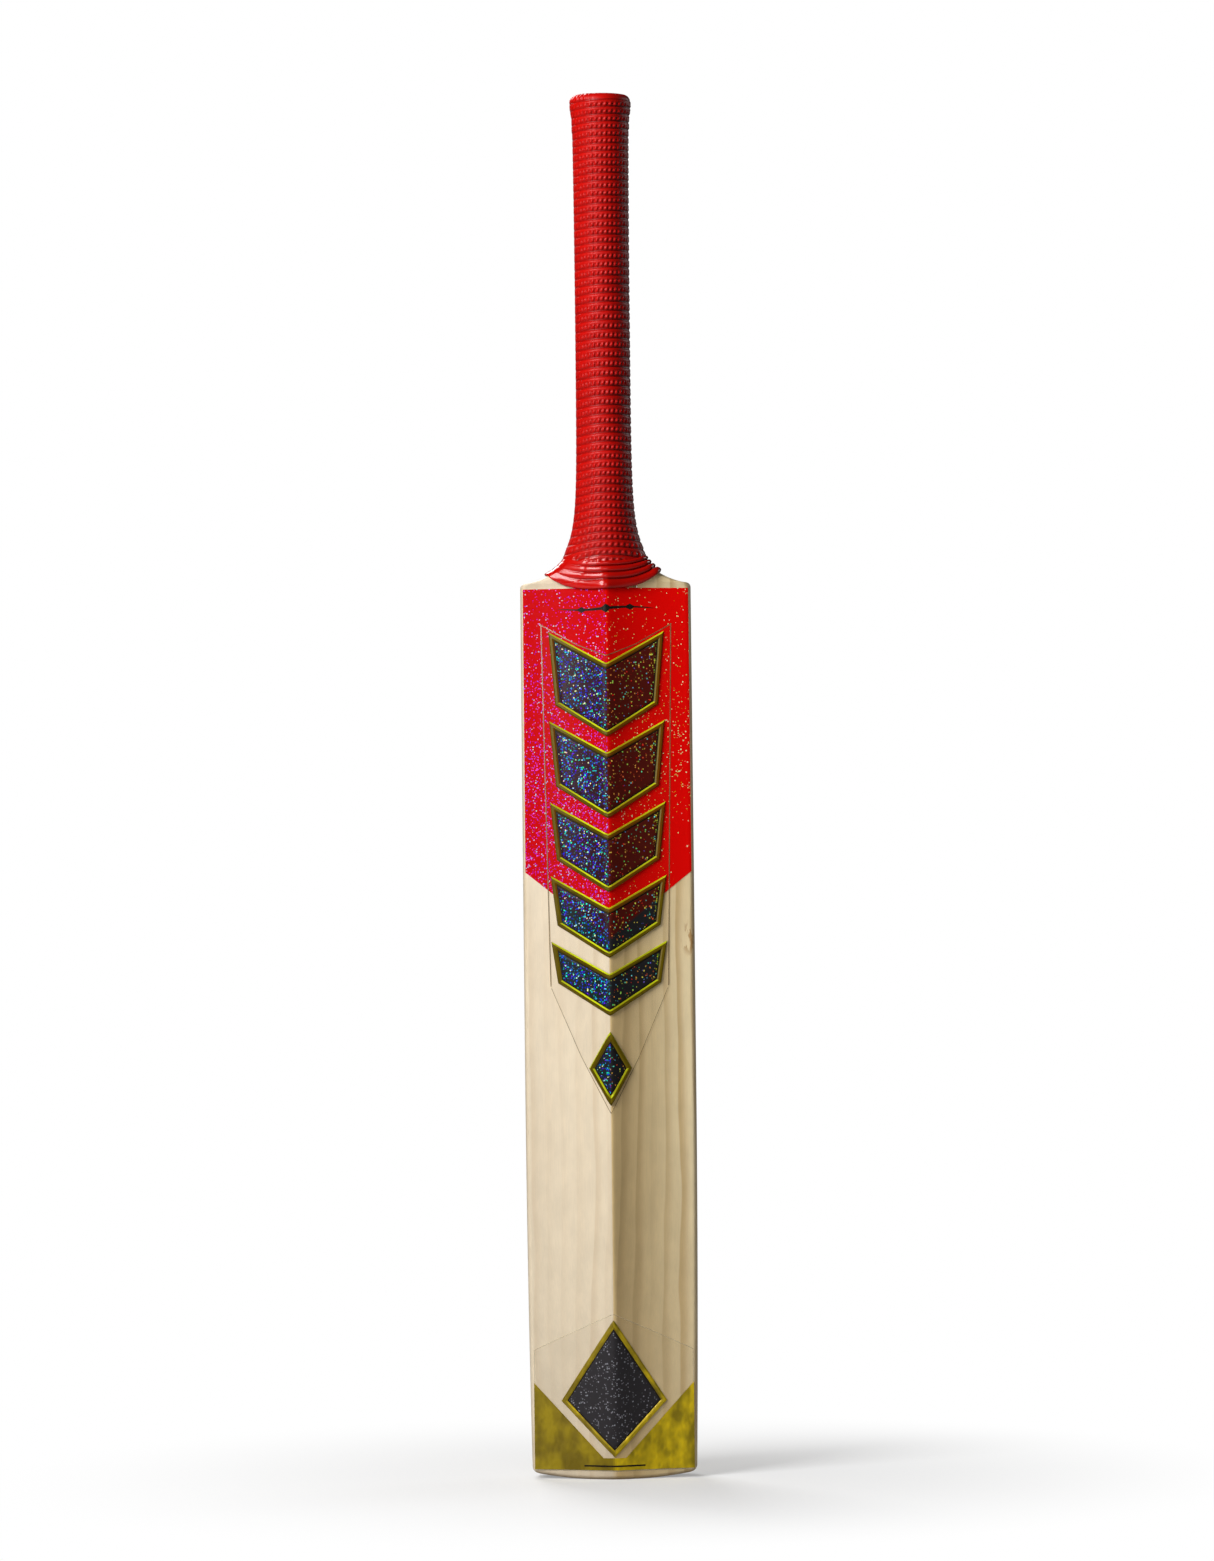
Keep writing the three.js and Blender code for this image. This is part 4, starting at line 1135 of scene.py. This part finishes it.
def emblem_corners():
    """The emblem's bars and the lozenge under them, each from the box of its CAD frame."""
    shapes = []
    for number in range(1, 6):
        low, high = box_mm(f"emblem_{number}_frame")
        w, top, foot = high[0], high[2], low[2]
        left, right = [(-w, top), (LEAN - w, foot + DROP)], [(w - LEAN, foot + DROP), (w, top)]
        shapes.append([*left, (0, foot), *right, (0, top - DROP)])
    low, high = box_mm("emblem_6_frame")
    middle = (low[2] + high[2]) / 2
    shapes.append([(low[0], middle), (0, low[2]), (high[0], middle), (0, high[2])])
    return shapes


def build_emblem():
    box_low, box_high = box_mm("emblem_film")
    bar_foot = box_mm("emblem_5_frame")[0][2] + 18
    lozenge_half = box_mm("emblem_6_frame")[1][0] + 5
    top, w = box_high[2], box_high[0]
    side_drop, side_foot = 13, 266
    knots = [
        (-w, top, LEAN - w, bar_foot),
        (-lozenge_half, top - side_drop, -lozenge_half, side_foot),
        (0, top - DROP, 0, box_low[2]),
        (lozenge_half, top - side_drop, lozenge_half, side_foot),
        (w, top, w - LEAN, bar_foot),
    ]
    film = [CLEAR_FILM, FILM_EDGE]
    columns = spread(knots, FILM_STEP)
    low, on_film = PANEL_OUT + LAYER_GAP, FILM_OUT + LAYER_GAP
    draped("emblem_clear_film", columns, 120, low, FILM_OUT, film, ["emblem_film"], rim=0.6)
    for number, corners in enumerate(emblem_corners(), 1):
        border, glitter = f"emblem_border_{number}", f"emblem_glitter_{number}"
        node, outs = f"emblem_{number}", (on_film, INLAY_OUT, FRAME_OUT)
        framed_glitter(border, glitter, node, corners, GOLD, *outs, dome=1.8)


def build_toe_decals():
    film_low, film_high = box_mm("toe_film")
    foil_low, foil_high = box_mm("toe_foil")
    kite_low, kite_high = box_mm("toe_kite_frame")
    w, side, film_foot = TOE_HALF_WIDTH - SIDE_MARGIN, TOE_FILM_SIDE_Z, film_low[2]
    knots = [(-w, side, -w, film_foot), (0, film_high[2], 0, film_foot), (w, side, w, film_foot)]
    film, columns = [CLEAR_FILM, FILM_EDGE], spread(knots, FILM_STEP)
    draped("toe_clear_film", columns, 60, BARE, TOE_FILM_OUT, film, ["toe_film"], rim=0.5)
    foot, band, wedge, half = foil_low[2], foil_low[2] + 7.8, 61.0, 7
    knots = [(-w, wedge, -w, foot), (-half, band, -half, foot), (half, band, half, foot), (w, wedge, w, foot)]
    columns, foil, low = spread(knots, FINE_STEP), [CRUMPLED_GOLD], TOE_FILM_OUT + 0.02
    draped("toe_gold_foil", columns, 30, low, TOE_FOIL_OUT, foil, ["toe_foil"])
    left, right = (kite_low[0], KITE_MIDDLE_Z), (kite_high[0], KITE_MIDDLE_Z)
    corners = [left, (0, kite_low[2]), right, (0, kite_high[2])]
    outs = (TOE_FILM_OUT + 0.04, TOE_INLAY_OUT, TOE_FRAME_OUT)
    framed_glitter("toe_kite_border", "toe_kite_glitter", "toe_kite", corners, CRUMPLED_GOLD, *outs, dome=1.5)


LOZENGES = ((-15, 1.9), (0, 2.8), (15, 1.9))  # middle and half height of each


def build_marks():
    """Two plain marks: a tapering flourish with three lozenges at the panel's top, and a line along the toe.

    Each is printed on a foil."""
    reach, middle_z = 30.5, 546.5
    columns = []
    for x in np.linspace(-reach, reach, 123):
        taper = 1.2 * max(0, 1 - abs(x) / reach) ** 0.7 + 0.05
        lozenges = [height * max(0, 1 - abs(x - at) / 3.6) for at, height in LOZENGES]
        half = max(0.75 * taper, *lozenges)
        sway = 0.9 * math.sin(math.pi * x / reach)
        columns.append((x, middle_z + sway + half, x, middle_z + sway - half))
    draped("panel_flourish", columns, 6, PANEL_OUT - INK_SINK, PANEL_OUT + 0.06, [INK], ())
    line_half, line_top, line_foot = 19, 9.4, 8.4
    line = [(x, line_top, x, line_foot) for x in np.linspace(-line_half, line_half, 39)]
    draped("toe_line", line, 4, TOE_FOIL_OUT - INK_SINK, TOE_FOIL_OUT + 0.08, [INK], ())


build_blade()
build_canes()
build_binding()
build_grip()
build_panel()
build_emblem()
build_toe_decals()
build_marks()

# ---- floor, light and camera

CAMERA_DISTANCE, CAMERA_HEIGHT, CAMERA_SHIFT = 4.2, 0.4385, -0.0003
CAMERA_LENS, CAMERA_ROLL_DEG = 153.8, 0.63
FLOOR_HALF, FADE_FROM, FADE_TO = 20.0, 60.0, 420.0  # metres, and millimetres from the bat


def build_floor():
    mesh = bpy.data.meshes.new("floor")
    half = FLOOR_HALF
    corners = [(-half, -half, 0), (half, -half, 0), (half, half, 0), (-half, half, 0)]
    mesh.from_pydata(corners, [], [(0, 1, 2, 3)])
    g = Graph("pale_floor")
    white = g.node("ShaderNodeEmission")
    fade = g.remap(g.length(g.place), FADE_FROM, FADE_TO, 0.3, 1, True)
    seen = g.node("ShaderNodeLightPath").outputs["Is Camera Ray"]
    blend = g.node("ShaderNodeMixShader")
    g.link(g.times(fade, seen), blend.inputs[0])
    g.link(g.shader.outputs[0], blend.inputs[1])
    g.link(white.outputs[0], blend.inputs[2])
    g.link(blend.outputs[0], g.tree.nodes["Material Output"].inputs["Surface"])
    # Only the camera sees the floor as white, so that it throws little light back up at the bat.
    grey = g.remap(seen, 0, 1, 0.35, 0.9)
    mesh.materials.append(g.finish(Base_Color=g.combine(grey, grey, grey), Roughness=0.7))
    placed("floor", mesh)


def softbox(name, azimuth, elevation, distance, size, watts):
    """A white area light aimed at the bat's middle. Azimuth is 0 at the camera and grows to the right."""
    data = bpy.data.lights.new(name, "AREA")
    data.shape, data.size, data.size_y = "RECTANGLE", *size
    data.energy = watts
    lamp = placed(name, data)
    a, e = math.radians(azimuth), math.radians(elevation)
    away = Vector((math.sin(a) * math.cos(e), -math.cos(a) * math.cos(e), math.sin(e)))
    lamp.location = Vector((0, 0, BAT_LENGTH * MM / 2)) + away * distance
    lamp.rotation_mode = "QUATERNION"
    lamp.rotation_quaternion = away.to_track_quat("Z", "Y")


def build_world(strength):
    world = bpy.data.worlds.new("studio")
    bpy.context.scene.world = world
    world.use_nodes = True
    tree = world.node_tree
    background = tree.nodes["Background"]
    background.inputs["Color"].default_value = (1, 1, 1, 1)
    path = tree.nodes.new("ShaderNodeLightPath")
    level = tree.nodes.new("ShaderNodeMapRange")
    tree.links.new(path.outputs["Is Camera Ray"], level.inputs["Value"])
    level.inputs["To Min"].default_value = strength
    level.inputs["To Max"].default_value = 1.0
    tree.links.new(level.outputs[0], background.inputs["Strength"])


def build_camera():
    data = bpy.data.cameras.new("camera")
    data.lens, data.sensor_width = CAMERA_LENS, 36.0
    camera = placed("camera", data)
    camera.location = (CAMERA_SHIFT, -CAMERA_DISTANCE, CAMERA_HEIGHT)
    camera.rotation_euler = (math.radians(90), math.radians(CAMERA_ROLL_DEG), 0)
    bpy.context.scene.camera = camera


build_floor()
softbox("key", -41, 28, 2.4, (1.0, 1.6), 64)
softbox("front", 0, 10, 3.4, (1.4, 1.6), 12)
softbox("behind", 200, 35, 2.8, (1.2, 1.2), 38)
softbox("right", 125, 18, 2.8, (1.0, 1.2), 10)
build_world(0.02)
build_camera()
bpy.context.scene.view_settings.view_transform = "Standard"
